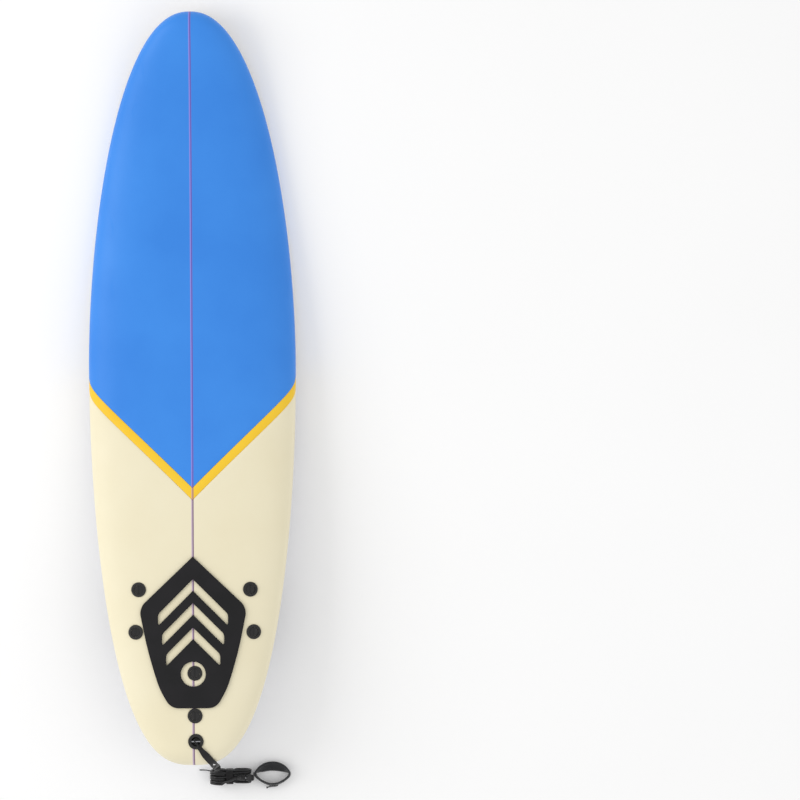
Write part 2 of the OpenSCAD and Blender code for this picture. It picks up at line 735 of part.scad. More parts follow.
// Webbing from the swivel down the outside of the cuff
module cuff_tab() {
    way = [[-897, -126, 46], [-897, -129, 45], [-897, -131, 40], [-897, -132, 32], [-897, -132, 16],
           [-897, -132, 6]];
    color([0.12, 0.12, 0.12]) loft([for (i = [0:len(way) - 1])
        let (n = unit(cross(tangent(way, i), [1, 0, 0])))
        [for (c = [[1, 1], [1, -1], [-1, -1], [-1, 1]]) way[i] + [7 * c[0], 0, 0] + n * 1.2 * c[1]]]);
}

flap_l = 26;
flap_at = [cuff_at.x - cuff_far - cuff_t / 2 - 2, cuff_at.y + flap_l / 2, 3];

module cuff_flap() {
    color([0.2, 0.2, 0.21]) translate(flap_at) {
        cylinder(d = 2.4, h = cuff_w - 6);
        translate([-1.2, -flap_l, 0]) cube([2, flap_l, cuff_w - 6]);
    }
}

left_foam_blank();
right_foam_blank();
stringer();
nose_deck_skin();
deck_stripe();
tail_deck_skin();
bottom_skin();
traction_pad();
left_fin();
right_fin();
centre_fin();
left_fin_sleeves();
right_fin_sleeves();
centre_fin_sleeves();
left_fin_inserts();
right_fin_inserts();
centre_fin_inserts();
left_fin_washers();
right_fin_washers();
centre_fin_washers();
left_front_fin_screw();
left_rear_fin_screw();
right_front_fin_screw();
right_rear_fin_screw();
centre_front_fin_screw();
centre_rear_fin_screw();
leash_plug_cup();
leash_plug_bar();
leash_plug_base();
leash_string();
rail_saver();
saver_swivel_yoke();
saver_swivel_pin();
saver_cord_end();
leash_lead();
leash_hank();
hank_tie();
tie_string();
cuff_lead();
cuff_cord_end();
cuff_swivel_pin();
cuff_swivel_yoke();
cuff_tab();
ankle_cuff();
cuff_flap();
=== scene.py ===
import json
import math
import bmesh
import bpy
import numpy as np
from mathutils import Matrix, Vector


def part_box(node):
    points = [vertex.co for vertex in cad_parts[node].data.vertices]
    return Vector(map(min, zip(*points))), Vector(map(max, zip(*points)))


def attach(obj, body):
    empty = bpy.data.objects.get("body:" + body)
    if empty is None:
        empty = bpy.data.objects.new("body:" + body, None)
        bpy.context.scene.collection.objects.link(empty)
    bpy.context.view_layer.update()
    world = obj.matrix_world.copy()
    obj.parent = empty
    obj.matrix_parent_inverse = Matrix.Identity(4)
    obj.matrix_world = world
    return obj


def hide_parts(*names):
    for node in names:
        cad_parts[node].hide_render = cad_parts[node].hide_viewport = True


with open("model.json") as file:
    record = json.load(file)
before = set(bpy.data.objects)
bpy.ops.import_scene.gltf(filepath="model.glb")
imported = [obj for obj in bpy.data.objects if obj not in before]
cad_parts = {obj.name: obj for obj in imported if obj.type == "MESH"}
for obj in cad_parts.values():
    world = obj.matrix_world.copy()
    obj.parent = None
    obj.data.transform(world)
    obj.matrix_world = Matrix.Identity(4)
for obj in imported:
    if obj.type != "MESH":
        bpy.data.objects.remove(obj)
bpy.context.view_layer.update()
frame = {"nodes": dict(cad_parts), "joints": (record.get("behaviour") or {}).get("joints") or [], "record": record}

record = frame["record"]
mounts = {m["name"]: m for m in record["mounts"]}

MM = 0.001

# ---- Driving sizes of the board ----

HALF_L = 850 * MM
HALF_W = 234 * MM
WIDE_X = 50 * MM
NOSE_LIFT = 105 * MM
NOSE_START = 110 * MM
TAIL_START = -120 * MM
TAIL_ANGLE = math.radians(1.8)
THICK = 80 * MM
THICK_X = 200 * MM
NOSE_THIN = 29 * MM
TAIL_THIN = 27 * MM
END_ROUND = 44 * MM
RAIL_POWER = 3
SKIN_T = 5 * MM
SLICK_T = 3 * MM
GLUE = 0.4 * MM
STRIPE_X = -223 * MM
STRIPE_L = 28 * MM

# ---- Resting position, from the mount that lies flat under the middle of the board ----

REST_MOUNT_X = -5 * MM
rest_axis = mounts["rack_rest"]["axis"]
rest_pos = mounts["rack_rest"]["pos_m"]
REST_TILT = math.atan2(-rest_axis[0], -rest_axis[2])
REST_SHIFT = rest_pos[0] - REST_MOUNT_X * math.cos(REST_TILT)
REST_LIFT = rest_pos[2] + REST_MOUNT_X * math.sin(REST_TILT)


def rested(p):
    """Level board frame to the resting position: a turn about Y by the rest tilt, then the rest shift and
    lift."""
    x, y, z = p[..., 0], p[..., 1], p[..., 2]
    c, s = math.cos(REST_TILT), math.sin(REST_TILT)
    return np.stack([REST_SHIFT + x * c + z * s, y, REST_LIFT - x * s + z * c], -1)


# ---- Camera: square to the deck, from far away, nose up; the board stands left of the frame's middle ----

CAMERA_FAR = 20.0
FRAME_W = 1.8056
SIDE_STEP = 0.4695
TAIL_STEP = 0.0248
ROLL = math.radians(0.3)

deck_normal = np.array([math.sin(REST_TILT), 0, math.cos(REST_TILT)])
to_nose = np.array([math.cos(REST_TILT), 0, -math.sin(REST_TILT)])
to_right = np.cross(to_nose, deck_normal)
view_up = to_nose * math.cos(ROLL) + to_right * math.sin(ROLL)
view_right = to_right * math.cos(ROLL) - to_nose * math.sin(ROLL)
board_middle = rested(np.array([0, 0, 0.06]))
camera_at = board_middle + view_right * SIDE_STEP - view_up * TAIL_STEP + deck_normal * CAMERA_FAR

camera_data = bpy.data.cameras.new("camera")
camera_data.lens = camera_data.sensor_width * CAMERA_FAR / FRAME_W
camera_data.clip_end = 100
camera = bpy.data.objects.new("camera", camera_data)
bpy.context.scene.collection.objects.link(camera)
turn = np.eye(4)
turn[:3, 0], turn[:3, 1], turn[:3, 2], turn[:3, 3] = view_right, view_up, deck_normal, camera_at
camera.matrix_world = Matrix(turn)
bpy.context.scene.camera = camera


# ---- Mesh helpers ----

def quads(m, n, wrap_m=False, wrap_n=False):
    """Faces of an m by n grid of points: corners (i, j), (i+1, j), (i+1, j+1), (i, j+1), wrapping where
    asked."""
    i, j = np.meshgrid(np.arange(m if wrap_m else m - 1), np.arange(n if wrap_n else n - 1), indexing="ij")
    i2, j2 = (i + 1) % m, (j + 1) % n
    return np.stack([i * n + j, i2 * n + j, i2 * n + j2, i * n + j2], -1).reshape(-1, 4)


def piece(name, parts, body="root", replaces=(), smooth=40, uv=None):
    """One object from (points, faces) pairs: doubles merged, faces turned outwards, smooth below the given
    angle. uv gives two numbers in metres for each point; they go into the UV map before doubles are
    merged."""
    counts = np.cumsum([0] + [len(p) for p, _ in parts])
    points = np.concatenate([p for p, _ in parts])
    faces = [f + c for (_, fs), c in zip(parts, counts) for f in fs]
    mesh = bpy.data.meshes.new(name)
    mesh.from_pydata(points.tolist(), [],
                     np.concatenate(faces).tolist() if len({f.shape[1] for f in faces}) == 1
                     else [row for f in faces for row in f.tolist()])
    if uv is not None:
        layer = mesh.uv_layers.new(name="UVMap")
        corner = np.zeros(len(mesh.loops), int)
        mesh.loops.foreach_get("vertex_index", corner)
        layer.data.foreach_set("uv", np.asarray(uv)[corner].ravel())
    work = bmesh.new()
    work.from_mesh(mesh)
    bmesh.ops.remove_doubles(work, verts=work.verts, dist=2e-6)
    bmesh.ops.recalc_face_normals(work, faces=work.faces)
    work.to_mesh(mesh)
    work.free()
    mesh.shade_smooth()
    mesh.set_sharp_from_angle(angle=math.radians(smooth))
    obj = bpy.data.objects.new(name, mesh)
    bpy.context.scene.collection.objects.link(obj)
    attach(obj, body)
    if replaces:
        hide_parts(*replaces)
    return obj


def flat_points(grid):
    """A grid of points as one list."""
    return grid.reshape(-1, 3)


def shell(outer, inner):
    """Closed solid between two grids of the same size: both sheets and the strip that joins their borders."""
    m, n = outer.shape[:2]
    k = m * n
    number = np.arange(k).reshape(m, n)
    rim = np.concatenate([number[0, :-1], number[:-1, -1], number[-1, :0:-1], number[:0:-1, 0]])
    after = np.roll(rim, -1)
    sheet = quads(m, n)
    strip = np.stack([rim, after, after + k, rim + k], -1)
    return np.concatenate([flat_points(outer), flat_points(inner)]), [sheet, sheet[:, ::-1] + k, strip]


def tube_faces(rings, closed=False):
    """Rings of equal length joined in a row; the first and last are closed by a flat many-sided face unless
    closed."""
    m, n = rings.shape[:2]
    faces = [quads(m, n, closed, True)]
    if not closed:
        faces += [np.arange(n)[None, ::-1], (np.arange(n) + (m - 1) * n)[None]]
    return flat_points(rings), faces


def ring_uv(rings, closed=False):
    """UV in metres for rings: distance along the row of rings, and distance round each ring."""
    middle = rings.mean(1)
    along = np.concatenate([[0], np.cumsum(np.linalg.norm(np.diff(middle, axis=0), axis=1))])
    step = np.linalg.norm(np.roll(rings, -1, 1) - rings, axis=2)
    round_it = np.concatenate([np.zeros((len(rings), 1)), np.cumsum(step, 1)[:, :-1]], 1)
    return np.stack([np.broadcast_to(along[:, None], round_it.shape), round_it], -1).reshape(-1, 2)


def smooth_way(points, step):
    """Smooth curve through points: on each span a cubic whose end slopes are the chords between the
    neighbours, shared out by the spans' lengths, sampled about every step."""
    p = np.asarray(points, float)
    p = np.concatenate([[2 * p[0] - p[1]], p, [2 * p[-1] - p[-2]]])
    span = np.linalg.norm(np.diff(p, axis=0), axis=1)
    slope = (p[2:] - p[:-2]) / (span[1:] + span[:-1])[:, None]
    count = np.maximum(1, np.round(span[1:-1] / step).astype(int))
    index = np.repeat(np.arange(len(count)), count)
    u = (np.arange(len(index)) - np.repeat(np.cumsum(count) - count, count)) / count[index]
    u, a, b = u[:, None], p[1:-1][index], p[1:-1][index + 1]
    m0, m1 = slope[index] * span[index + 1][:, None], slope[index + 1] * span[index + 1][:, None]
    curve = ((2 * u**3 - 3 * u**2 + 1) * a + (u**3 - 2 * u**2 + u) * m0
             + (3 * u**2 - 2 * u**3) * b + (u**3 - u**2) * m1)
    return np.concatenate([curve, p[-2:-1]])


def unit(v):
    """Vectors shortened or stretched to length 1."""
    return v / np.linalg.norm(v, axis=-1, keepdims=True)


def way_frames(way, flat):
    """Along a way: its tangent, the direction square to it and to flat, and the third direction."""
    tangent = unit(np.gradient(way, axis=0))
    side = unit(np.cross(tangent, flat))
    return tangent, side, np.cross(tangent, side)


def round_tube(way, radius, flat, sides=14):
    """Circle of the given radius, or radii, carried square along a way, with domed ends."""
    tangent, side, third = way_frames(way, flat)
    radii = np.broadcast_to(radius, (len(way),)).astype(float)
    angle = np.linspace(0, 2 * math.pi, sides, endpoint=False)
    rings = way[:, None] + radii[:, None, None] * (side[:, None] * np.cos(angle)[:, None]
                                                   + third[:, None] * np.sin(angle)[:, None])
    dome = np.array([0.55, 0.85])
    def cap(i, sign):
        """Two smaller rings past an end, on a quarter circle."""
        grow = np.sqrt(1 - dome**2)[:, None, None]
        out = way[i] + sign * tangent[i] * radii[i] * dome[:, None]
        return out[:, None] + (rings[i] - way[i]) * grow
    return np.concatenate([cap(0, -1)[::-1], rings, cap(-1, 1)])


def lathe(profile, sides=64):
    """Profile of (radius, height) points turned about the z axis; radius 0 closes at a pole."""
    r, z = np.asarray(profile, float).T
    angle = np.linspace(0, 2 * math.pi, sides, endpoint=False)
    rings = np.stack([r[:, None] * np.cos(angle), r[:, None] * np.sin(angle),
                      np.broadcast_to(z[:, None], (len(r), sides))], -1)
    return flat_points(rings), [quads(len(r), sides, False, True)]


def arc(centre, radius, start, end, count=6):
    """Points on a circle's arc from start to end degrees, as (x, y) pairs."""
    a = np.radians(np.linspace(start, end, count))
    return [(centre[0] + radius * c, centre[1] + radius * s) for c, s in zip(np.cos(a), np.sin(a))]


def rounded_box_ring(a, b, power, count=32):
    """Closed outline |x/a|^power + |y/b|^power = 1, as (x, y) pairs."""
    t = np.linspace(0, 2 * math.pi, count, endpoint=False)
    c, s = np.cos(t), np.sin(t)
    return np.stack([a * np.sign(c) * np.abs(c) ** (2 / power), b * np.sign(s) * np.abs(s) ** (2 / power)],
                    -1)


# ---- Shape of the board ----

def half_width(x, grow=0.0):
    """Half width at x: a superellipse with its own length and powers ahead of and behind the widest point."""
    nose = x > WIDE_X
    reach = np.where(nose, HALF_L + grow - WIDE_X, HALF_L + grow + WIDE_X)
    u = np.minimum(1, np.abs(x - WIDE_X) / reach)
    return (HALF_W + grow) * (1 - u ** np.where(nose, 1.87, 1.93)) ** np.where(nose, 1 / 2.2, 1 / 2.7)


def rocker(x):
    """Height of the bottom: a power curve to the nose, flat in the middle, a straight incline at the tail."""
    ahead = np.maximum(0, x - NOSE_START) / (HALF_L - NOSE_START)
    return NOSE_LIFT * ahead**2.8 + np.maximum(0, TAIL_START - x) * math.tan(TAIL_ANGLE)


def plain_thickness(x):
    """Thickness before the ends are rounded: it falls off by a power law to each side of the thickest
    point."""
    behind = np.maximum(0, THICK_X - x) / (THICK_X + HALF_L)
    ahead = np.maximum(0, x - THICK_X) / (HALF_L - THICK_X)
    return THICK - TAIL_THIN * behind**1.15 - NOSE_THIN * ahead**1.7


def end_rounding(x, grow=0.0):
    """Share of the thickness left near a tip: a superellipse of power 2.2 over the last stretch."""
    d = np.clip((HALF_L + grow - np.abs(x)) / END_ROUND, 0, 1)
    return (1 - (1 - d) ** 2.2) ** (1 / 2.2)


def deck_base(x):
    """Height of the foot of the foam above the level plane."""
    return rocker(x) + SLICK_T + GLUE


def deck_point(x, angle, inset=0.0):
    """Point of the cross-section at x: a superellipse of power 3, from the right edge over the deck to the
    left."""
    y = half_width(x, -inset) * np.sign(-np.cos(angle)) * np.abs(np.cos(angle)) ** (2 / RAIL_POWER)
    h = (plain_thickness(x) - SLICK_T - GLUE - inset) * end_rounding(x, -inset)
    return np.stack([x, y, deck_base(x) + h * np.maximum(0, np.sin(angle)) ** (2 / RAIL_POWER)], -1)


def deck_z(x, y, inset=0.0):
    """Height of the deck over the level plane at x, y: the same superellipse solved for z."""
    u = np.minimum(1, np.abs(y) / half_width(x, -inset))
    h = (plain_thickness(x) - SLICK_T - GLUE - inset) * end_rounding(x, -inset)
    return deck_base(x) + h * (1 - u**RAIL_POWER) ** (1 / RAIL_POWER)


# Angles across the section, closest together where the rail turns
ACROSS = 112
share = np.abs(np.arange(ACROSS + 1) - ACROSS / 2) / (ACROSS / 2)
quarter = np.where(share < 0.5, 90 - 45 * (2 * share) ** 1.5, 45 * np.abs(2 * (1 - share)) ** 1.5)
stations = np.radians(np.where(np.arange(ACROSS + 1) < ACROSS / 2, quarter, 180 - quarter))

# The V runs forward from the centreline by the distance over the deck
v_section = deck_point(np.full(ACROSS + 1, STRIPE_X), stations)
girth = np.concatenate([[0], np.cumsum(np.linalg.norm(np.diff(v_section, axis=0), axis=1))])
v_line = STRIPE_X + np.abs(girth - girth[ACROSS // 2])


def skin_piece(name, rows, inner_rows, drop, node):
    """Foam skin between the deck surface, lowered by drop at its rolled edges, and the surface under it."""
    angles = np.broadcast_to(stations, rows.shape)
    outer = deck_point(rows, angles, np.broadcast_to(drop[:, None], rows.shape))
    inner = deck_point(inner_rows, angles, SKIN_T)
    return piece(name, [shell(rested(outer), rested(inner))], replaces=[node], smooth=50)


EDGE_ROLL = 0.9 * MM
edge_steps = EDGE_ROLL * np.array([0, 0.06, 0.22, 0.5, 1.0])
edge_drop = EDGE_ROLL - np.sqrt(EDGE_ROLL**2 - (EDGE_ROLL - edge_steps) ** 2)
SKIN_ROWS = 96


def towards(tip, start):
    """Rows from the start line to a tip: the rolled edge first, then steps that shorten as a sine to the
    tip."""
    sign = np.sign(tip)
    near = start[None] + sign * edge_steps[:, None]
    far = np.sin(np.linspace(0, math.pi / 2, SKIN_ROWS)[1:])[:, None]
    return np.concatenate([near, near[-1:] + (tip - near[-1:]) * far])


run_drop = np.concatenate([edge_drop, np.zeros(SKIN_ROWS - 1)])
TIP_GAP = 0.01 * MM
nose_skin = skin_piece("deck_skin_blue", towards(HALF_L - TIP_GAP, v_line),
                       towards(HALF_L - TIP_GAP - SKIN_T, v_line),
                       run_drop, "nose_deck_skin")
stripe_front, stripe_back = v_line - GLUE, v_line - STRIPE_L + GLUE
stripe_rows = np.concatenate([stripe_front - edge_steps[:, None], (stripe_front + stripe_back)[None] / 2,
                              (stripe_back + edge_steps[:, None])[::-1]])
stripe = skin_piece("deck_stripe_yellow", stripe_rows, stripe_rows,
                    np.concatenate([edge_drop, [0], edge_drop[::-1]]), "deck_stripe")
tail_start_line = v_line - STRIPE_L
tail_skin = skin_piece("deck_skin_cream", towards(-HALF_L + TIP_GAP, tail_start_line),
                       towards(-HALF_L + TIP_GAP + SKIN_T, tail_start_line), run_drop, "tail_deck_skin")


def slick_bottom():
    """Slick sheet: rings round its section, flat below and above with half-round edges, along the board's
    outline."""
    xs = HALF_L * np.sin(np.linspace(-math.pi / 2, math.pi / 2, 181))
    r = SLICK_T / 2
    w = half_width(xs)[:, None]
    across = np.linspace(-1, 1, 33)
    edge = np.radians(np.linspace(-90, 90, 9))[1:-1]
    reach = np.maximum(w - r, 0)
    rim = np.minimum(w, r)
    y = np.concatenate([reach * across, reach + rim * np.cos(edge), reach * across[::-1],
                        -reach - rim * np.cos(edge[::-1])], 1)
    z = np.concatenate([np.zeros(33), r + r * np.sin(edge), np.full(33, SLICK_T), r + r * np.sin(edge[::-1])])
    x = np.broadcast_to(xs[:, None], y.shape)
    rings = np.stack([x, y, rocker(x) + z[None]], -1)
    return piece("slick_bottom_sheet", [tube_faces(rested(rings))], replaces=["bottom_skin"])


bottom = slick_bottom()

# ---- Fixings: posts of the fins and the leash plug, square to the tail incline ----

POST_GAP = 96 * MM
SIDE_FIN = (-502 * MM, 129.5 * MM)
FIXING_Y = -3.5 * MM
TOE_IN = math.radians(4.2)
CANT = math.radians(4)
CENTRE_FIN_X = -691 * MM
PLUG_AT = (-797 * MM, -5 * MM)


def on_bottom(points, x, y):
    """Points of a fixing, whose z axis stands square to the tail incline at x, y, taken to the resting
    position."""
    c, s = math.cos(TAIL_ANGLE), math.sin(TAIL_ANGLE)
    px, py, pz = points[..., 0], points[..., 1], points[..., 2]
    return rested(np.stack([x + px * c + pz * s, y + py, float(rocker(x)) - px * s + pz * c], -1))


def turned_z(points, angle):
    """Points turned about the z axis."""
    c, s = math.cos(angle), math.sin(angle)
    x, y = points[..., 0] * c - points[..., 1] * s, points[..., 0] * s + points[..., 1] * c
    return np.stack([x, y, points[..., 2]], -1)


def deck_height(x, y):
    """Thickness of the board above the bottom at a fixing, square to the incline."""
    return float((deck_z(x, y) - rocker(x)) / math.cos(TAIL_ANGLE))


def on_deck(points, x, y):
    """Points whose z = 0 plane touches the deck at x, y: tipped by the deck's roll and pitch there."""
    e = 0.5 * MM
    roll = math.atan(float(deck_z(x, y + e) - deck_z(x, y - e)) / (2 * e))
    pitch = -math.atan(float(deck_z(x + e, y) - deck_z(x - e, y)) / (2 * e)) - TAIL_ANGLE
    px, py, pz = points[..., 0], points[..., 1], points[..., 2]
    py, pz = py * math.cos(roll) - pz * math.sin(roll), py * math.sin(roll) + pz * math.cos(roll)
    px, pz = px * math.cos(pitch) + pz * math.sin(pitch), -px * math.sin(pitch) + pz * math.cos(pitch)
    return on_bottom(np.stack([px, py, pz + deck_height(x, y)], -1), x, y)


def posts(x, y, turn):
    """The two posts of a fin, front then rear."""
    return [(x + s * POST_GAP / 2 * math.cos(turn), y + s * POST_GAP / 2 * math.sin(turn)) for s in (1, -1)]


FINS = {"left": (SIDE_FIN[0], FIXING_Y + SIDE_FIN[1], -TOE_IN, CANT),
        "right": (SIDE_FIN[0], FIXING_Y - SIDE_FIN[1], TOE_IN, -CANT),
        "centre": (CENTRE_FIN_X, FIXING_Y, 0, 0)}
all_posts = [p for x, y, turn, _ in FINS.values() for p in posts(x, y, turn)]


def drill(target, holes):
    """Bores through a skin: (x, y, diameter, lowest, highest) of each, cut square to the tail incline."""
    cutters = [lathe([(0, low), (d / 2, low), (d / 2, high), (0, high)]) for _, _, d, low, high in holes]
    parts = [(on_bottom(points, x, y), faces) for (points, faces), (x, y, *_) in zip(cutters, holes)]
    cutter = piece("cutter", parts)
    cut = target.modifiers.new("bores", "BOOLEAN")
    cut.operation, cut.solver, cut.object = "DIFFERENCE", "EXACT", cutter
    bpy.context.view_layer.objects.active = target
    with bpy.context.temp_override(object=target, active_object=target):
        bpy.ops.object.modifier_apply(modifier=cut.name)
    bpy.data.objects.remove(cutter)


plug_h = deck_height(*PLUG_AT)
BORE = 20.2 * MM
drill(tail_skin, [(x, y, BORE, 30 * MM, 90 * MM) for x, y in all_posts]
      + [(*PLUG_AT, 26.2 * MM, plug_h - 24 * MM, 90 * MM)])
drill(bottom,
      [(x, y, BORE, -10 * MM, 20 * MM) for x, y in all_posts] + [(*PLUG_AT, 12.2 * MM, -10 * MM, 20 * MM)])

# ---- Traction pad ----

PAD_APEX = -382 * MM
PAD_L = 338 * MM
PAD_T = 5 * MM
PAD_CORNERS = np.array([[4, 0], [-112, 122], [-256, 93], [-318, 68], [-338, 52]]) * MM
PAD_CORNER_R = 15 * MM
PAD_EDGE_R = 1.3 * MM
CHEVRONS = [(47 * MM, 79 * MM), (101 * MM, 70 * MM), (156 * MM, 61 * MM)]
CHEVRON_ARM = 26 * MM
CHEVRON_R = 4 * MM
PAD_RING_R = 28 * MM
PAD_PITCH = 1.8 * MM


def rounded_and(a, b, r):
    """Distance inside both of two edges whose corner is rounded by r: r minus the distance to the corner's
    centre."""
    corner = (a < r) & (b < r)
    return np.where(corner, r - np.hypot(r - a, r - b), np.minimum(a, b))


def pad_inside(x, y):
    """Distance inside the pad's outline, slots and ring hole, positive inside; x is measured from the
    apex."""
    y = np.abs(y)
    corners = np.concatenate([PAD_CORNERS, PAD_CORNERS[::-1][:1] * [1, 0]])
    a, b = corners[:-1], corners[1:]
    outward = np.stack([(b - a)[:, 1], -(b - a)[:, 0]], -1)
    outward = -unit(outward) * np.sign((outward * (a - [-0.2, 0])).sum(1))[:, None] * -1
    edges = [-((x - p[0]) * n[0] + (y - p[1]) * n[1]) for p, n in zip(a, outward)]
    d = edges[0]
    for edge in edges[1:]:
        d = rounded_and(d, edge, PAD_CORNER_R)
    for apex, reach in CHEVRONS:
        front, back = (-apex - y - x) / math.sqrt(2), (x + apex + CHEVRON_ARM + y) / math.sqrt(2)
        slot = rounded_and(rounded_and(front, back, 1e-9), reach - y, CHEVRON_R)
        d = np.minimum(d, -slot)
    ring_x = CENTRE_FIN_X + POST_GAP / 2 - PAD_APEX
    return np.minimum(d, np.hypot(x - ring_x, y) - PAD_RING_R)


def to_level(x, y, level):
    """Moves points along the gradient of pad_inside until they lie level inside the outline."""
    e = 0.05 * MM
    for _ in range(6):
        d = pad_inside(x, y) - level
        gx = (pad_inside(x + e, y) - pad_inside(x - e, y)) / (2 * e)
        gy = (pad_inside(x, y + e) - pad_inside(x, y - e)) / (2 * e)
        g = np.maximum(0.3, gx**2 + gy**2)
        x, y = x - d * gx / g, y - d * gy / g
    return x, y


def traction_pad():
    """Foam sheet: the cells of a grid that lie inside the outline, their border points moved onto it, then
    a border strip that follows a quarter circle over the edge and drops to the deck; the same cells close
    it below."""
    xs = np.arange(-PAD_L - 6 * MM, 8 * MM, PAD_PITCH)
    ys = (np.arange(141) - 70) * PAD_PITCH
    gx, gy = [g.ravel() for g in np.meshgrid(xs, ys, indexing="ij")]
    cells = quads(len(xs), len(ys))
    inside = pad_inside(gx[cells].mean(1), gy[cells].mean(1)) > PAD_EDGE_R + 0.35 * PAD_PITCH
    cells = cells[inside]
    edges = np.stack([cells, np.roll(cells, -1, 1)], -1).reshape(-1, 2)
    key = edges.min(1) * len(gx) + edges.max(1)
    _, back, count = np.unique(key, return_inverse=True, return_counts=True)
    edges = edges[count[back] == 1]
    border, place = np.unique(edges, return_inverse=True)
    place = place.reshape(-1, 2)
    bx, by = to_level(gx[border], gy[border], PAD_EDGE_R)
    gx[border], gy[border] = bx, by
    fall = np.radians(np.array([22.5, 45, 67.5, 90]))
    levels = list(PAD_EDGE_R * (1 - np.sin(fall))) + [0]
    heights = list(PAD_T - PAD_EDGE_R * (1 - np.cos(fall))) + [GLUE]
    rows = [(bx, by, np.full(len(bx), PAD_T))]
    for level, height in zip(levels, heights):
        rx, ry = to_level(rows[-1][0], rows[-1][1], level)
        rows.append((rx, ry, np.full(len(bx), height)))
    used, cell_place = np.unique(cells, return_inverse=True)
    cell_place = cell_place.reshape(-1, 4)
    lower_x, lower_y = gx.copy(), gy.copy()
    lower_x[border], lower_y[border] = rows[-1][0], rows[-1][1]
    flat = [(gx[used], gy[used], np.full(len(used), PAD_T)),
            (lower_x[used], lower_y[used], np.full(len(used), GLUE))]
    xyh = np.concatenate([np.stack(r, -1) for r in flat + rows])
    first = 2 * len(used)
    wall = [np.stack([place[:, 0] + first + k * len(bx), place[:, 1] + first + k * len(bx),
                      place[:, 1] + first + (k + 1) * len(bx), place[:, 0] + first + (k + 1) * len(bx)], -1)
            for k in range(len(rows) - 1)]
    x = xyh[:, 0] + PAD_APEX
    points = np.stack([x, xyh[:, 1], deck_z(x, xyh[:, 1]) + GLUE + xyh[:, 2]], -1)
    return piece("eva_traction_pad", [(rested(points), [cell_place, cell_place[:, ::-1] + len(used)] + wall)],
                 replaces=["traction_pad"], smooth=50)


pad = traction_pad()

# ---- Fins ----

FLANGE_L, FLANGE_W, FLANGE_T = 146 * MM, 26 * MM, 3 * MM
BLADE_DEPTH = 113 * MM
BLADE_T = 9 * MM
ROOT_X = 57 * MM
POST_SHIFT = 9 * MM
POST_D, POST_H = 14 * MM, 24 * MM
FILLET = 5 * MM
FLANGE_EDGE = 1.2 * MM


def lead_edge(d):
    """Leading edge at depth d: a square root sweep, steep at the root and laid back at the tip."""
    return 143 * MM * (1 - np.sqrt(1 - d / (BLADE_DEPTH + 2 * MM)))


def trail_edge(d):
    """Trailing edge at depth d: a power curve backwards, then the arc of the rounded tip."""
    sweep = 116 * MM + 36 * MM * (np.maximum(0, d - 14 * MM) / (69 * MM)) ** 2.2
    tip = 158.5 * MM + np.sqrt(np.maximum(0, (16.5 * MM) ** 2 - (d - 98.5 * MM) ** 2))
    mix = np.clip((d - 80 * MM) / (10 * MM), 0, 1)
    mix = mix * mix * (3 - 2 * mix)
    return np.where(d < 80 * MM, sweep, sweep * (1 - mix) + tip * mix)


def blade():
    """Foil sections down the depth: half thickness t(1.48 sqrt(u) - 0.98 u - 0.5 u^3), thinning to the tip,
    where a quarter ellipse closes it; a concave quarter circle flares each section into the flange at the
    root."""
    d = np.unique(np.concatenate([FILLET * (1 - np.cos(np.linspace(0, math.pi / 2, 7))),
                                  np.linspace(FILLET, BLADE_DEPTH * 0.93, 40),
                                  BLADE_DEPTH * (0.93 + 0.07 * np.sin(np.linspace(0, math.pi / 2, 9)))]))
    end = np.sqrt(np.maximum(0, 1 - (np.maximum(0, d / BLADE_DEPTH - 0.93) / 0.07) ** 2))
    flare = FILLET - np.sqrt(FILLET**2 - np.maximum(0, FILLET - d) ** 2)
    u = (1 - np.cos(np.linspace(0, math.pi, 33))) / 2
    half = (1.48 * np.sqrt(u) - 0.98 * u - 0.5 * u**3) / 1.1
    lip = 0.5 * MM * np.sqrt(1 - (1 - np.minimum(1, u / 0.02)) ** 2)
    thick = (BLADE_T / 2 * (1 - 0.62 * d / BLADE_DEPTH) - 0.5 * MM)[:, None]
    half = (half * thick + lip) * end[:, None] + flare[:, None] * np.sqrt(np.maximum(0, 1 - (2 * u - 1) ** 8))
    a, c = lead_edge(np.minimum(d, BLADE_DEPTH))[:, None], trail_edge(d)[:, None]
    x = ROOT_X - a - (c - a) * u + flare[:, None] * (1 - 2 * u)
    left = np.stack([x, half, np.broadcast_to(-d[:, None], x.shape)], -1)
    right = left * [1, -1, 1]
    return tube_faces(np.concatenate([left, right[:, ::-1]], 1))


def stadium(radius, z, length=FLANGE_L - FLANGE_W):
    """Outline with round ends at each radius and height."""
    t = np.linspace(0, 2 * math.pi, 64, endpoint=False)
    x = np.cos(t) * np.asarray(radius)[:, None] + np.where(np.cos(t) >= 0, 1, -1) * length / 2
    y = np.sin(t) * np.asarray(radius)[:, None]
    return np.stack([x, y, np.broadcast_to(np.asarray(z)[:, None], x.shape)], -1)


def flange():
    """Flange plate: stadium outlines down its side, round its lower edge and in to its middle line."""
    w = FLANGE_W / 2
    edge = np.array(arc((w - FLANGE_EDGE, -FLANGE_T + FLANGE_EDGE), FLANGE_EDGE, 0, -90))
    radius = np.concatenate([[0, w - 0.3 * MM, w], edge[:, 0], [w * 0.6, 0]])
    z = np.concatenate([[0, 0, -0.3 * MM], edge[:, 1], [-FLANGE_T, -FLANGE_T]])
    return flat_points(stadium(radius, z)), [quads(len(radius), 64, False, True)]


def post():
    """Hollow post: outer wall, rounded top and the bore for its brass insert."""
    r, bore = POST_D / 2, 5.5 * MM
    return lathe([(0, -FLANGE_T / 2), (r, -FLANGE_T / 2), (r, POST_H - 0.5 * MM), (r - 0.5 * MM, POST_H),
                  (bore, POST_H), (bore, 6 * MM), (0, 6 * MM)], 40)


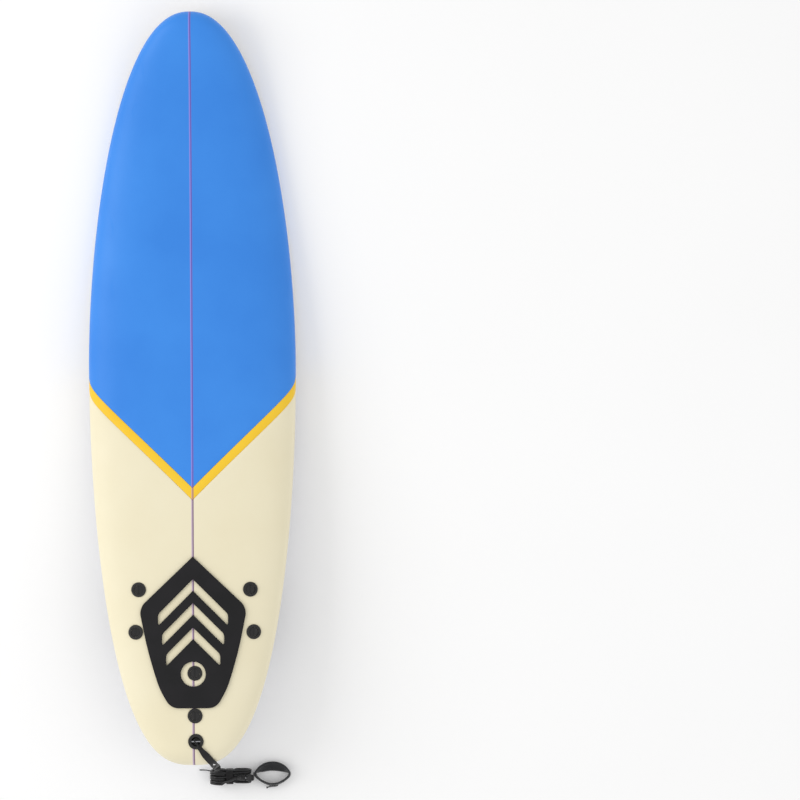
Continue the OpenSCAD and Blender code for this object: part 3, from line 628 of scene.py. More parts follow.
def fin(side):
    """One-piece fin moulding: flange, blade leaned by its cant, and two posts."""
    x, y, turn, lean = FINS[side]
    c, s = math.cos(lean), math.sin(lean)
    points, faces = blade()
    leaned = np.stack([points[:, 0], points[:, 1] * c - points[:, 2] * s,
                       points[:, 1] * s + points[:, 2] * c], -1)
    parts = [(leaned + [POST_SHIFT, 0, -FLANGE_T + 0.2 * MM], faces)]
    points, faces = flange()
    parts.append((points + [POST_SHIFT, 0, 0], faces))
    points, faces = post()
    parts += [(points + [k * POST_GAP / 2, 0, 0], faces) for k in (1, -1)]
    parts = [(on_bottom(turned_z(p, turn), x, y), f) for p, f in parts]
    return piece(f"{side}_fin_moulding", parts, replaces=[f"{side}_fin"], smooth=38)


fins = [fin(side) for side in FINS]

# ---- Washers and leash plug ----


def washer_ring():
    """Ring under a screw head: bore, chamfer, gently domed top and a round outer edge."""
    r, t, e = 16.75 * MM, 2.2 * MM, 1.1 * MM
    rim = arc((r - e, t - e), e, 0, 90)
    profile = [(10.35 * MM, 0), (r, 0)] + rim + [(12 * MM, t + 0.12 * MM), (10.9 * MM, t + 0.1 * MM),
                                                 (10.35 * MM, t - 0.4 * MM), (10.35 * MM, 0)]
    return lathe(profile, 72)


def washers(side):
    """The two washers of a fin, lying on the deck."""
    x, y, turn, _ = FINS[side]
    points, faces = washer_ring()
    parts = [(on_deck(points + [0, 0, GLUE], px, py), faces) for px, py in posts(x, y, turn)]
    return piece(f"{side}_fin_washer_rings", parts, replaces=[f"{side}_fin_washers"])


washer_pieces = [washers(side) for side in FINS]


def leash_plug():
    """Plug cup: a body with a round-bottomed pocket, and a rim that lies on the deck with rolled edges."""
    r, t, pocket, body = 17.5 * MM, 2.4 * MM, 10 * MM, 13 * MM
    rim = ([(body, 0), (r, 0)] + arc((r - 1.2 * MM, t - 1.2 * MM), 1.2 * MM, 0, 90)
           + arc((pocket + 1.4 * MM, t - 1.4 * MM), 1.4 * MM, 90, 180) + [(pocket, 0), (body, 0)])
    points, faces = lathe(rim, 72)
    parts = [(on_deck(points + [0, 0, GLUE], *PLUG_AT), faces)]
    floor = plug_h - 9 * MM
    cup = ([(0, plug_h - 24 * MM), (body, plug_h - 24 * MM), (body, plug_h + MM), (pocket, plug_h + MM)]
           + arc((pocket - 3 * MM, floor + 3 * MM), 3 * MM, 0, -90) + [(0, floor)])
    points, faces = lathe(cup, 72)
    parts.append((on_bottom(points, *PLUG_AT), faces))
    return piece("leash_plug_moulding", parts, replaces=["leash_plug_cup"])


def plug_disc():
    """Disc under the slick with a rolled edge, and the stem that goes up into the cup."""
    r, t, stem = 20.5 * MM, 3 * MM, 6 * MM
    profile = ([(0, -t)] + arc((r - 1.3 * MM, -t + 1.3 * MM), 1.3 * MM, -90, 0) + [(r, 0), (stem, 0),
               (stem, plug_h - 13 * MM), (0, plug_h - 13 * MM)])
    points, faces = lathe(profile, 72)
    return piece("leash_plug_disc", [(on_bottom(points, *PLUG_AT), faces)], replaces=["leash_plug_base"])


plug_cup, plug_base = leash_plug(), plug_disc()

# ---- Leash ----

STRING_D = 3 * MM
STRING_WAY = [[17, 209.8], [12, 210.8], [7.8, 209.8], [5.4, 205.5], [5.2, 200.3], [1.4, 196.3], [-3, 196.2],
              [-5.8, 198], [-7, 203], [-4.2, 208.8], [3, 213.2], [10, 214.1], [16, 213.1]]
SAVER_WAY = np.array([[-805, -15, 210], [-814, -22, 209], [-824, -30, 205], [-833, -37, 198],
                      [-841, -43, 189],
                      [-848, -47, 176], [-852, -49, 162], [-855, -50, 146], [-858, -50, 128],
                      [-861, -50, 112],
                      [-863, -49, 100], [-866, -49, 90]]) * MM
LEAD_WAY = np.array([[-874, -49, 59], [-875, -50, 53], [-877, -53, 46], [-880, -60, 39]]) * MM
CUFF_LEAD_WAY = np.array([[-908, -61, 37.5], [-907, -68, 40], [-905, -75, 42.5], [-902, -82, 44.5],
                          [-899, -89, 46], [-897, -95, 46]]) * MM
SAVER_W = 16 * MM
SAVER_T = 3 * MM
CORD_D = 5.5 * MM
saver_turn = math.atan2(-35, -46)
saver_away = np.array([math.cos(saver_turn), math.sin(saver_turn), 0])
saver_across = np.array([-math.sin(saver_turn), math.cos(saver_turn), 0])
up = np.array([0, 0, 1.0])

# Cord string: from the saver, under the plug's bar and back
plug_top = rested(np.array([PLUG_AT[0], PLUG_AT[1], float(deck_z(*PLUG_AT))]))
string_points = np.array([plug_top * [1, 1, 0] + t * MM * saver_away + z * MM * up for t, z in STRING_WAY])
string_way = smooth_way(string_points, MM)
string_rings = round_tube(string_way, STRING_D / 2, saver_across, 12)
string = piece("leash_string_cord", [tube_faces(string_rings)], replaces=["leash_string"],
               smooth=60, uv=ring_uv(string_rings))


def strap(way, across, width, thick, lift, count=24):
    """Flat webbing carried along a way: a thin superellipse section, lifted off the way along its own
    normal."""
    tangent = unit(np.gradient(way, axis=0))
    normal = unit(np.cross(tangent, across))
    section = rounded_box_ring(0.5, thick / 2, 5, count)
    offset = section[None, :, 1] + np.broadcast_to(lift, (len(way),))[:, None]
    side = section[None, :, 0] * np.broadcast_to(width, (len(way),))[:, None]
    return way[:, None] + across * side[..., None] + normal[:, None] * offset[..., None]


# Rail saver: two plies of webbing, sewn together but for an eye between two legs near the tail's edge
saver_way = smooth_way(np.concatenate([[[-799 * MM, -10.5 * MM, 211.6 * MM]], SAVER_WAY]), 2 * MM)
run = np.linspace(0, 1, len(saver_way))
taper = np.clip(run / 0.2, 0, 1)
taper = SAVER_W * (0.6 + 0.4 * taper * taper * (3 - 2 * taper))
split = np.exp(-((run - 0.46) / 0.1) ** 4)
plies = [strap(saver_way + k * 5.4 * MM * split[:, None] * saver_across, saver_across,
               taper - 9.8 * MM * split,
               SAVER_T / 2, k * SAVER_T / 4) for k in (1, -1)]
saver = piece("rail_saver_strap", [tube_faces(p) for p in plies], replaces=["rail_saver"],
              uv=np.concatenate([ring_uv(p) for p in plies]), smooth=60)

# Leash cord: out of the upper cord end, six upright turns of the hank, and up to the cuff's cord end
hank_low, hank_high = [np.array(c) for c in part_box("leash_hank")]
hank_mid = (hank_low + hank_high) / 2
TURN_R = 3 * CORD_D
TURNS = 6
hank_run = (hank_high - hank_low)[1] - 2 * TURN_R - CORD_D
turn_length = 2 * hank_run + 2 * math.pi * TURN_R
TIE_Y = hank_mid[1] + 2 * MM
TIE_W = 16 * MM


def hank_way():
    """Turns of the hank: a racetrack in the y-z plane, from over the +y end along the top, round and back
    below, while x goes from side to side; every second turn lies a little inside, more so where the tie
    draws them in."""
    first, last = 0.18, TURNS + 0.155
    t = np.linspace(first, last, int((last - first) * 56))
    s = (t % 1) * turn_length
    q = math.pi * TURN_R / 2
    y_end = hank_run / 2
    stretch = [s < q, s < q + hank_run, s < 3 * q + hank_run, s < 3 * q + 2 * hank_run]
    phase = s / TURN_R
    over = (s - q - hank_run) / TURN_R + math.pi / 2
    home = (s - 3 * q - 2 * hank_run) / TURN_R - math.pi / 2
    y = np.select(stretch, [y_end + TURN_R * np.cos(phase), y_end - (s - q), -y_end + TURN_R * np.cos(over),
                            -y_end + (s - 3 * q - hank_run)], y_end + TURN_R * np.cos(home))
    z = np.select(stretch, [TURN_R * np.sin(phase), TURN_R + 0 * s, TURN_R * np.sin(over), -TURN_R + 0 * s],
                  TURN_R * np.sin(home))
    inside = 0.5 + 0.5 * np.tanh(5 * np.sin(math.pi * t))
    tie = np.exp(-(np.abs(y + hank_mid[1] - TIE_Y) / (11 * MM)) ** 4)
    height = np.sign(z) * (4.1 * MM * tie + inside * (0.9 + 2.4 * tie) * MM) * np.abs(z / TURN_R) ** 2
    x = (0.5 - (t - first) / (last - first)) * (32.5 * MM) * (1 - 0.2 * tie) + 0.5 * MM * np.sin(9.7 * t)
    return np.stack([hank_mid[0] + x, hank_mid[1] + y, hank_mid[2] + z - height], -1)


leash_way = smooth_way(np.concatenate([LEAD_WAY, hank_way(), CUFF_LEAD_WAY[1:]]), 3 * MM)
cord_rings = round_tube(leash_way, CORD_D / 2, np.array([1.0, 0, 0]), 12)
leash = piece("leash_cord", [tube_faces(cord_rings)], replaces=["leash_lead", "leash_hank", "cuff_lead"],
              smooth=70, uv=ring_uv(cord_rings))


def tie_strap():
    """Hook-and-loop tie: a rounded box ring round the drawn-in turns, its free end lapped over the top."""
    t = np.linspace(0, 1, 121)
    a = 2 * math.pi * t * 1.16 + math.radians(60)
    c, s = np.cos(a), np.sin(a)
    grow = 1.7 * MM * np.clip((t - 0.82) / 0.05, 0, 1)
    x = (16.6 * MM + grow) * np.sign(c) * np.abs(c) ** (2 / 5)
    z = (15.2 * MM + grow) * np.sign(s) * np.abs(s) ** (2 / 5)
    way = np.stack([hank_mid[0] + x, np.full(len(t), TIE_Y), hank_mid[2] + z], -1)
    keep = np.concatenate([[True], np.linalg.norm(np.diff(way, axis=0), axis=1) > 0.2 * MM])
    return strap(way[keep], np.array([0, 1.0, 0]), TIE_W, 1.4 * MM, 0.0)


tie_rings = tie_strap()
tie = piece("hank_tie_strap", [tube_faces(tie_rings)], replaces=["hank_tie"],
            uv=ring_uv(tie_rings),
            smooth=60)

TIE_STRING_WAY = np.array([[-886, -40, 12], [-885.5, -32, 11], [-884.5, -22, 7.5], [-885, -9, 3]]) * MM
tie_string_way = smooth_way(TIE_STRING_WAY, 1.5 * MM)
tie_string_rings = round_tube(tie_string_way, 1.2 * MM, np.array([0, 0, 1.0]), 12)
tie_string = piece("tie_string_end", [tube_faces(tie_string_rings)], replaces=["tie_string"],
                   smooth=60, uv=ring_uv(tie_string_rings))

# Swivels: pieces hang along -z from each swivel's own origin
joints = {j["name"]: j for j in frame["joints"]}
SAVER_LEAN = math.atan2(joints["saver_swivel_turn"]["axis"][0], joints["saver_swivel_turn"]["axis"][2])


def at_saver_swivel(p):
    """Leans the swivel's own frame about y and sets it at the rail saver's end."""
    c, s = math.cos(SAVER_LEAN), math.sin(SAVER_LEAN)
    return np.stack([p[..., 0] * c + p[..., 2] * s, p[..., 1], -p[..., 0] * s + p[..., 2] * c],
                    -1) + SAVER_WAY[-1]


def at_cuff_swivel(p):
    """Turns the swivel's own frame so that -z runs to +y, and sets it behind the cuff."""
    at = np.array(joints["cuff_swivel_turn"]["pos_m"])
    return np.stack([p[..., 0], -p[..., 2], p[..., 1]], -1) + at


def cord_end():
    """Ribbed moulding over the cord's end: a drum with three round grooves, then a sleeve that tapers to
    the cord."""
    r, groove = 6.5 * MM, 0.8 * MM
    z = np.linspace(-14.7, -24, 70) * MM
    ribs = r - groove * np.exp(-((z[:, None] - np.array([-16.6, -19.6,
                                                         -22.6]) * MM) / (0.62 * MM)) ** 4).sum(1)
    drum = list(zip(ribs, z))
    top = [(0, -14 * MM), (5.6 * MM, -14 * MM), (6.2 * MM, -14.2 * MM)]
    sleeve = [(5.9 * MM, -24.6 * MM), (5.3 * MM, -26.5 * MM), (4.6 * MM, -29 * MM), (4.0 * MM, -31.2 * MM),
              (3.5 * MM, -32 * MM), (0, -32 * MM)]
    return lathe(top + drum + sleeve, 48)


def yoke(bar_w):
    """Yoke moulding: superellipse sections that grow from the round swivel end to the webbing's slot
    block."""
    z = np.array([0, 0, -0.4, -1, -3, -5, -6.2, -7.6, -9, -11, -11.6, -12, -12]) * MM
    share = np.clip((-z - 5 * MM) / (4 * MM), 0, 1)
    share = share * share * (3 - 2 * share)
    edge = np.array([0, 0.86, 0.95, 1, 1, 1, 1, 1, 1, 1, 0.96, 0.88, 0])
    a = (5.2 * MM * (1 - share) + 7 * MM * share) * edge
    b = (bar_w / 2 * (1 - share) + 7 * MM * share) * edge
    power = 5 - 3 * share
    t = np.linspace(0, 2 * math.pi, 48, endpoint=False)
    c, s = np.cos(t), np.sin(t)
    x = a[:, None] * np.sign(c) * np.abs(c) ** (2 / power[:, None])
    y = b[:, None] * np.sign(s) * np.abs(s) ** (2 / power[:, None])
    return tube_faces(np.stack([x, y, np.broadcast_to(z[:, None], x.shape)], -1))


def placed(shape, place):
    """A (points, faces) pair with its points taken through a placing function."""
    return place(shape[0]), shape[1]


BAR_W = 18 * MM
quarter_turned = (turned_z(yoke(BAR_W)[0], math.pi / 2), yoke(BAR_W)[1])
saver_yoke = piece("saver_yoke_moulding", [placed(yoke(BAR_W), at_saver_swivel)],
                   replaces=["saver_swivel_yoke"])
saver_end = piece("saver_cord_end_moulding", [placed(cord_end(), at_saver_swivel)],
                  replaces=["saver_cord_end"])
cuff_yoke = piece("cuff_yoke_moulding", [placed(quarter_turned, at_cuff_swivel)],
                  replaces=["cuff_swivel_yoke"])
cuff_end = piece("cuff_cord_end_moulding", [placed(cord_end(), at_cuff_swivel)], replaces=["cuff_cord_end"])

# ---- Ankle cuff ----

CUFF_AT = np.array([-893, -174.5]) * MM
CUFF_LONG, CUFF_NEAR, CUFF_FAR = 39 * MM, 17 * MM, 27 * MM
CUFF_W, CUFF_T = 24 * MM, 5 * MM
NEAR_LEAN, FAR_LEAN = math.radians(68), math.radians(13)


def cuff_section():
    """Band section: a rounded box whose two edges are pinched to a narrow bound hem."""
    ring = rounded_box_ring(1.0, 1.0, 4, 48)
    w, t = ring[:, 0] * CUFF_W / 2, ring[:, 1] * CUFF_T / 2
    hem = np.clip((np.abs(w) - (CUFF_W / 2 - 3.2 * MM)) / (1.0 * MM), 0, 1)
    return w, t * (1 - 0.3 * hem * hem * (3 - 2 * hem))


def cuff_frames(f):
    """Middle of the band at angles f all round the ankle, and the band's width and thickness directions.
    The curve is an ellipse drawn in towards both ends by 1 - 0.3 cos^2; the side towards the board leans
    out by up to 68 degrees, and the far side leans in by 13 about its lower edge."""
    near = np.sin(f) > 0
    rise = np.abs(np.sin(f)) ** 1.5
    lean = np.where(near, NEAR_LEAN, -FAR_LEAN) * rise
    reach = np.where(near, CUFF_NEAR, CUFF_FAR) * np.sin(f) * (1 - 0.3 * np.cos(f) ** 2)
    mid = np.stack([CUFF_AT[0] + reach, CUFF_AT[1] + CUFF_LONG * np.cos(f),
                    0.2 * MM + CUFF_W / 2 * np.cos(lean) + CUFF_T / 2 * np.abs(np.sin(lean))], -1)
    along = unit((np.roll(mid, -1, 0) - np.roll(mid, 1, 0)) * [1, 1, 0])
    out = np.cross(up, along)
    out = out * np.sign((out[:, :2] * (mid[:, :2] - CUFF_AT)).sum(1))[:, None]
    mid = mid + out * np.where(near, 0, CUFF_W / 2 * np.sin(lean))[:, None]
    c, s = np.cos(lean)[:, None], np.sin(lean)[:, None]
    return mid, up * c + out * s, out * c - up * s


def ankle_cuff():
    """Neoprene band: its pinched section carried round the ankle's closed curve."""
    f = np.linspace(0, 2 * math.pi, 160, endpoint=False)
    mid, wide, thick = cuff_frames(f)
    w, t = cuff_section()
    rings = mid[:, None] + wide[:, None] * w[:, None] + thick[:, None] * t[:, None]
    return piece("ankle_cuff_band", [tube_faces(rings, True)], replaces=["ankle_cuff"],
                 smooth=60, uv=ring_uv(rings, True))


cuff = ankle_cuff()

TAB_WAY = np.array([[-897, -126, 46], [-897, -129, 45], [-897, -131, 40], [-897, -132, 32], [-897, -132, 16],
                    [-897, -132, 6]]) * MM
tab_rings = strap(smooth_way(TAB_WAY, 1.5 * MM), np.array([1.0, 0, 0]), 14 * MM, 2.4 * MM, 0.0)
tab = piece("cuff_webbing_tab", [tube_faces(tab_rings)], replaces=["cuff_tab"],
            uv=ring_uv(tab_rings),
            smooth=60)

flap_low, flap_high = [np.array(c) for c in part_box("cuff_flap")]


def closing_flap():
    """Hook-and-loop end flap: a thin pad of superellipse outline with a sewn hem, bowed like the cuff's far
    side, and the folded edge it turns on."""
    mid = (flap_low + flap_high) / 2
    half = (flap_high - flap_low) / 2
    hinge = np.array(joints["cuff_flap_open"]["pos_m"])
    length = hinge[1] - flap_low[1]
    ring = rounded_box_ring(1.0, 1.0, 7, 64)
    y = hinge[1] - length / 2 + ring[:, 0] * (length / 2)
    z = mid[2] + ring[:, 1] * half[2]
    scale = np.array([0, 0.8, 0.86, 0.9, 0.97, 1, 1, 0.97, 0.9, 0.86, 0.8, 0])
    offset = np.array([1, 1, 0.8, 0.8, 0.6, 0.2, -0.2, -0.6, -0.8, -0.8, -1, -1]) * 0.9 * MM
    centre_y, centre_z = hinge[1] - length / 2, mid[2]
    rim_y = centre_y + (y - centre_y) * scale[:, None]
    rim_z = centre_z + (z - centre_z) * scale[:, None]
    bow = 2.2 * MM * (1 - ((rim_y - centre_y) / (length / 2)) ** 2)
    hug = np.clip((hinge[1] - rim_y) / (7 * MM), 0, 1)
    hug = hug * hug * (3 - 2 * hug) * (2.6 * MM + (rim_z - flap_low[2]) * math.tan(FAR_LEAN))
    rings = np.stack([hinge[0] + offset[:, None] - 0.1 * MM - bow + hug, rim_y, rim_z], -1)
    fold = lathe([(0, -half[2]), (0.9 * MM, -half[2]), (1.2 * MM, -half[2] + 0.4 * MM),
                  (1.2 * MM, half[2] - 0.4 * MM), (0.9 * MM, half[2]), (0, half[2])], 24)
    return piece("cuff_closing_flap", [tube_faces(rings), (fold[0] + [hinge[0], hinge[1], mid[2]], fold[1])],
                 body="cuff_flap_body", replaces=["cuff_flap"],
                 uv=np.concatenate([ring_uv(rings), np.zeros((len(fold[0]), 2))]))


flap = closing_flap()


def stitch_shape():
    """One stitch: a short fat thread, 6 sided, rising in a half sine over its length."""
    t = np.linspace(0, 1, 5)
    a = np.linspace(0, 2 * math.pi, 6, endpoint=False)
    rad = 0.22 * MM * np.sqrt(np.sin(math.pi * (0.04 + 0.92 * t)))
    x = (t - 0.5)[:, None] * 2.1 * MM + 0 * a
    y = rad[:, None] * np.cos(a)
    z = rad[:, None] * np.sin(a) + 0.12 * MM * np.sin(math.pi * t)[:, None]
    return tube_faces(np.stack([x, y, z], -1))


def stitch_row(at, along, normal):
    """The stitch set down at each point, its length along the seam and its rise along the surface's
    normal."""
    points, faces = stitch_shape()
    third = np.cross(normal, along)
    world = (at[:, None] + along[:, None] * points[:, :1] + third[:, None] * points[:, 1:2]
             + normal[:, None] * points[:, 2:])
    count = len(points)
    return world.reshape(-1, 3), [(f[None] + count * np.arange(len(at))[:, None,
                                                                        None]).reshape(-1, f.shape[1])
                                  for f in faces]


def cuff_seams():
    """Two rows of stitches inside the hems, on both faces of the band."""
    parts = []
    f = np.linspace(0, 2 * math.pi, 68, endpoint=False)
    mid, wide, thick = cuff_frames(f)
    for row in (-1, 1):
        for face in (-1, 1):
            at = mid + wide * row * (CUFF_W / 2 - 4.2 * MM) + thick * face * (CUFF_T / 2 - 0.12 * MM)
            along = unit(np.roll(at, -1, 0) - np.roll(at, 1, 0))
            parts.append(stitch_row(at, along, thick * face))
    return piece("cuff_seam_stitches", parts, smooth=80)


seams = cuff_seams()

# ---- Finishes ----


def linear(colour):
    """A colour given as 0 to 255 screen values, as the linear values that the shader takes."""
    c = np.array(colour) / 255
    return (*np.where(c <= 0.04045, c / 12.92, ((c + 0.055) / 1.055) ** 2.4), 1.0)


class Finish:
    """A material's node tree, with short calls that add a node and join it up."""

    def __init__(self, name, roughness=0.5, coords="Object", **sockets):
        self.material = bpy.data.materials.new(name)
        self.material.use_nodes = True
        self.tree = self.material.node_tree
        self.shader = self.tree.nodes["Principled BSDF"]
        self.shader.inputs["Roughness"].default_value = roughness
        for socket, value in sockets.items():
            self.shader.inputs[socket.replace("_", " ")].default_value = value
        self.place = self.tree.nodes.new("ShaderNodeTexCoord").outputs[coords]
        self.height = None

    def join(self, value, socket):
        """Links an output to a socket, or sets the socket's own value."""
        if isinstance(value, bpy.types.NodeSocket):
            self.tree.links.new(value, socket)
        else:
            socket.default_value = value

    def node(self, kind, **inputs):
        """A node of the given kind with its inputs joined by name; attributes are given in lower case."""
        node = self.tree.nodes.new("ShaderNode" + kind)
        for name, value in inputs.items():
            if name[0].islower():
                setattr(node, name, value)
        for name, value in inputs.items():
            if not name[0].islower():
                self.join(value, node.inputs[name.replace("_", " ")])
        return node

    def stretched(self, x, y, z):
        """The place with each axis scaled."""
        return self.node("Mapping", Vector=self.place, Scale=(x, y, z)).outputs["Vector"]

    def noise(self, scale, detail=3, where=None, roughness=0.5):
        """Cloudy values from 0 to 1."""
        return self.node("TexNoise", Vector=where or self.place, Scale=scale, Detail=detail,
                         Roughness=roughness).outputs["Fac"]

    def cells(self, scale, where=None, feature="F1", output="Distance"):
        """Distance to the nearest of scattered points, or another measure of their cells."""
        return self.node("TexVoronoi", feature=feature, Vector=where or self.place,
                         Scale=scale).outputs[output]

    def maths(self, operation, a, b=0.0, c=0.0):
        """One sum on two or three values."""
        node = self.tree.nodes.new("ShaderNodeMath")
        node.operation = operation
        for value, socket in zip((a, b, c), node.inputs):
            self.join(value, socket)
        return node.outputs[0]

    def between(self, value, low, high, to_low=0.0, to_high=1.0):
        """The value's share of the way from low to high, carried to another range and held there."""
        return self.node("MapRange", Value=value, From_Min=low, From_Max=high, To_Min=to_low,
                         To_Max=to_high).outputs["Result"]

    def mix(self, share, a, b):
        """One colour turning into another."""
        node = self.tree.nodes.new("ShaderNodeMix")
        node.data_type = "RGBA"
        self.join(share, node.inputs["Factor"])
        self.join(a, node.inputs[6])
        self.join(b, node.inputs[7])
        return node.outputs[2]

    def axis(self, name):
        """One coordinate of the place."""
        return self.node("SeparateXYZ", Vector=self.place).outputs[name]

    def colour(self, value):
        """Sets or joins the base colour."""
        self.join(value, self.shader.inputs["Base Color"])

    def rough(self, value, low, high):
        """Roughness from low to high with a value from 0 to 1."""
        self.join(self.between(value, 0.0, 1.0, low, high), self.shader.inputs["Roughness"])

    def bump(self, height, distance, strength=1.0):
        """Adds relief of the given depth in metres; each call lies over the one before."""
        inputs = {"Height": height, "Distance": distance, "Strength": strength}
        if self.height is not None:
            inputs["Normal"] = self.height
        self.height = self.node("Bump", **inputs).outputs["Normal"]
        self.join(self.height, self.shader.inputs["Normal"])

    def on(self, *objects):
        """Puts the material in each object's only slot."""
        for obj in objects:
            obj.data.materials.clear()
            obj.data.materials.append(self.material)
        return self


def deck_foam(name, colour, shade, pin, pin_edge):
    """Printed foam deck skin: a heat-sealed film over fine foam cells, faint mottling and soft hollows, a
    few scuffs, and a printed pinline over the stringer with a darker right-hand edge."""
    f = Finish(name, 0.55, Specular_IOR_Level=0.35)
    mottle = f.between(f.noise(5.0, 4), 0.35, 0.68)
    speck = f.between(f.cells(1400.0), 0.2, 0.75)
    base = f.mix(mottle, linear(colour), linear(shade))
    base = f.mix(f.maths("MULTIPLY", speck, 0.06), base, linear([min(255, c + 22) for c in colour]))
    y = f.axis("Y")
    wander = f.maths("MULTIPLY_ADD", f.noise(22.0, 1), 0.0006, -0.0003)
    off = f.maths("ADD", y, wander)
    line = f.between(f.maths("ABSOLUTE", off), 0.0024, 0.0030, 1.0, 0.0)
    edge = f.between(f.maths("ABSOLUTE", f.maths("ADD", off, 0.0012)), 0.0011, 0.0017, 1.0, 0.0)
    base = f.mix(f.maths("MULTIPLY", line, 0.9), base, linear(pin))
    base = f.mix(f.maths("MULTIPLY", edge, 0.85), base, linear(pin_edge))
    scuff = f.between(f.noise(60.0, 5, f.stretched(0.25, 1.0, 1.0)), 0.62, 0.75)
    f.colour(base)
    f.rough(f.maths("ADD", f.maths("MULTIPLY", scuff, 0.5), f.maths("MULTIPLY", mottle, 0.4)), 0.46, 0.66)
    f.bump(f.noise(9.0, 2), 0.0016, 0.35)
    f.bump(f.cells(620.0, feature="SMOOTH_F1"), 0.00022, 0.5)
    f.bump(f.noise(2600.0, 2), 0.00008, 0.5)
    return f


deck_foam("printed_blue_foam", (58, 142, 236), (51, 134, 229), (150, 140, 226), (92, 84, 176)).on(nose_skin)
deck_foam("printed_yellow_foam", (252, 207, 48), (247, 198, 40), (222, 178, 150), (170, 122, 110)).on(stripe)
deck_foam("printed_cream_foam", (242, 233, 203), (238, 228, 196), (196, 172, 200),
          (112, 86, 112)).on(tail_skin)


def slick_finish():
    """Slick plastic sheet: faint drawing streaks along the board, fine random scratches and soft clouding."""
    f = Finish("pale_slick_sheet", 0.32, Specular_IOR_Level=0.5)
    cloud = f.noise(4.0, 3)
    streak = f.noise(160.0, 3, f.stretched(0.03, 1.0, 0.05))
    scratch = f.between(f.noise(260.0, 2, f.stretched(0.06, 1.0, 1.0), 0.7), 0.66, 0.72)
    base = f.mix(f.between(cloud, 0.3, 0.7), linear((216, 215, 220)), linear((208, 207, 213)))
    base = f.mix(f.maths("MULTIPLY", scratch, 0.25), base, linear((232, 232, 236)))
    f.colour(base)
    f.rough(f.maths("ADD", f.maths("MULTIPLY", streak, 0.5), f.maths("MULTIPLY", scratch, 0.5)), 0.26, 0.5)
    f.bump(f.noise(6.0, 2), 0.002, 0.25)
    f.bump(streak, 0.00006, 0.6)
    f.bump(scratch, 0.00003, 0.5)
    return f


slick = slick_finish().on(bottom)


def pad_finish():
    """Closed-cell deck pad: open pores of two sizes over a matt, slightly dusty black; the pores are darkened
    inside as painted shade.
    """
    f = Finish("black_deck_pad_foam", 0.86, Specular_IOR_Level=0.2, Sheen_Weight=0.05, Sheen_Roughness=0.5)
    dust = f.between(f.noise(14.0, 5), 0.35, 0.75)
    pores = f.between(f.cells(760.0), 0.0, 0.35)
    grain = f.between(f.cells(1900.0), 0.0, 0.5)
    base = f.mix(dust, linear((31, 31, 32)), linear((41, 40, 42)))
    # Painted shade: the pore centres are darkened towards (24, 24, 25).
    base = f.mix(f.maths("MULTIPLY", f.maths("SUBTRACT", 1.0, pores), 0.5), base, linear((24, 24, 25)))
    f.colour(base)
    f.rough(dust, 0.78, 0.92)
    f.bump(f.noise(30.0, 2), 0.0006, 0.3)
    f.bump(pores, 0.00022, 0.7)
    f.bump(grain, 0.0001, 0.6)
    return f


pad_finish().on(pad)


def moulded_black(name, colour, lighter, rough_low, rough_high, grain, grain_depth):
    """Injection-moulded plastic: a spark-eroded grain, slow flow marks and hair scratches that catch the
    light."""
    f = Finish(name, rough_low, Specular_IOR_Level=0.5)
    flow = f.between(f.noise(26.0, 4, f.stretched(1.0, 1.0, 2.4)), 0.3, 0.72)
    scratch = f.between(f.noise(420.0, 2, f.stretched(0.12, 1.0, 0.4), 0.7), 0.68, 0.74)
    base = f.mix(flow, linear(colour), linear(lighter))
    f.colour(f.mix(f.maths("MULTIPLY", scratch, 0.3), base, linear([c + 26 for c in lighter])))
    f.rough(f.maths("ADD", f.maths("MULTIPLY", flow, 0.6), f.maths("MULTIPLY", scratch, 0.4)), rough_low,
            rough_high)
    f.bump(f.noise(grain, 3), grain_depth, 0.6)
    f.bump(scratch, 0.00003, 0.4)
    return f


moulded_black("satin_black_fin_nylon", (20, 22, 23), (28, 30, 31), 0.3, 0.46, 900.0, 0.00005).on(*fins)
fixing_black = moulded_black("black_fixing_plastic", (18, 17, 17), (26, 24, 24), 0.42, 0.58, 1600.0, 0.00006)
screws = [frame["nodes"][f"{side}_{end}_fin_screw"] for side in FINS for end in ("front", "rear")]
fixing_black.on(plug_cup, plug_base, *washer_pieces, *screws)
swivel_black = moulded_black("black_swivel_moulding", (22, 22, 23), (31, 31, 32), 0.36, 0.52, 1300.0, 0.00007)
swivel_black.on(saver_yoke, saver_end, cuff_yoke, cuff_end)
sleeve_grey = moulded_black("sleeve_plastic", (196, 196, 194), (208, 208, 205), 0.4, 0.55, 900.0, 0.00006)
sleeve_grey.on(*[frame["nodes"][f"{side}_fin_sleeves"] for side in FINS])


def metal(name, colour, darker, rough_low, rough_high):
    """Turned metal: fine rings of tool marks, and a dulling that comes and goes."""
    f = Finish(name, rough_low, Metallic=1.0)
    dull = f.between(f.noise(300.0, 4), 0.3, 0.7)
    marks = f.noise(2400.0, 2, f.stretched(0.1, 0.1, 1.0))
    f.colour(f.mix(dull, linear(colour), linear(darker)))
    f.rough(f.maths("MULTIPLY_ADD", marks, 0.5, f.maths("MULTIPLY", dull, 0.5)), rough_low, rough_high)
    f.bump(marks, 0.00004, 0.5)
    return f


metal("stainless_steel", (205, 206, 208), (178, 180, 184), 0.2, 0.4).on(
    *[frame["nodes"][n] for n in ("leash_plug_bar", "saver_swivel_pin", "cuff_swivel_pin")])
metal("turned_brass", (201, 164, 88), (176, 138, 70), 0.25, 0.45).on(
    *[frame["nodes"][f"{side}_fin_inserts"] for side in FINS])


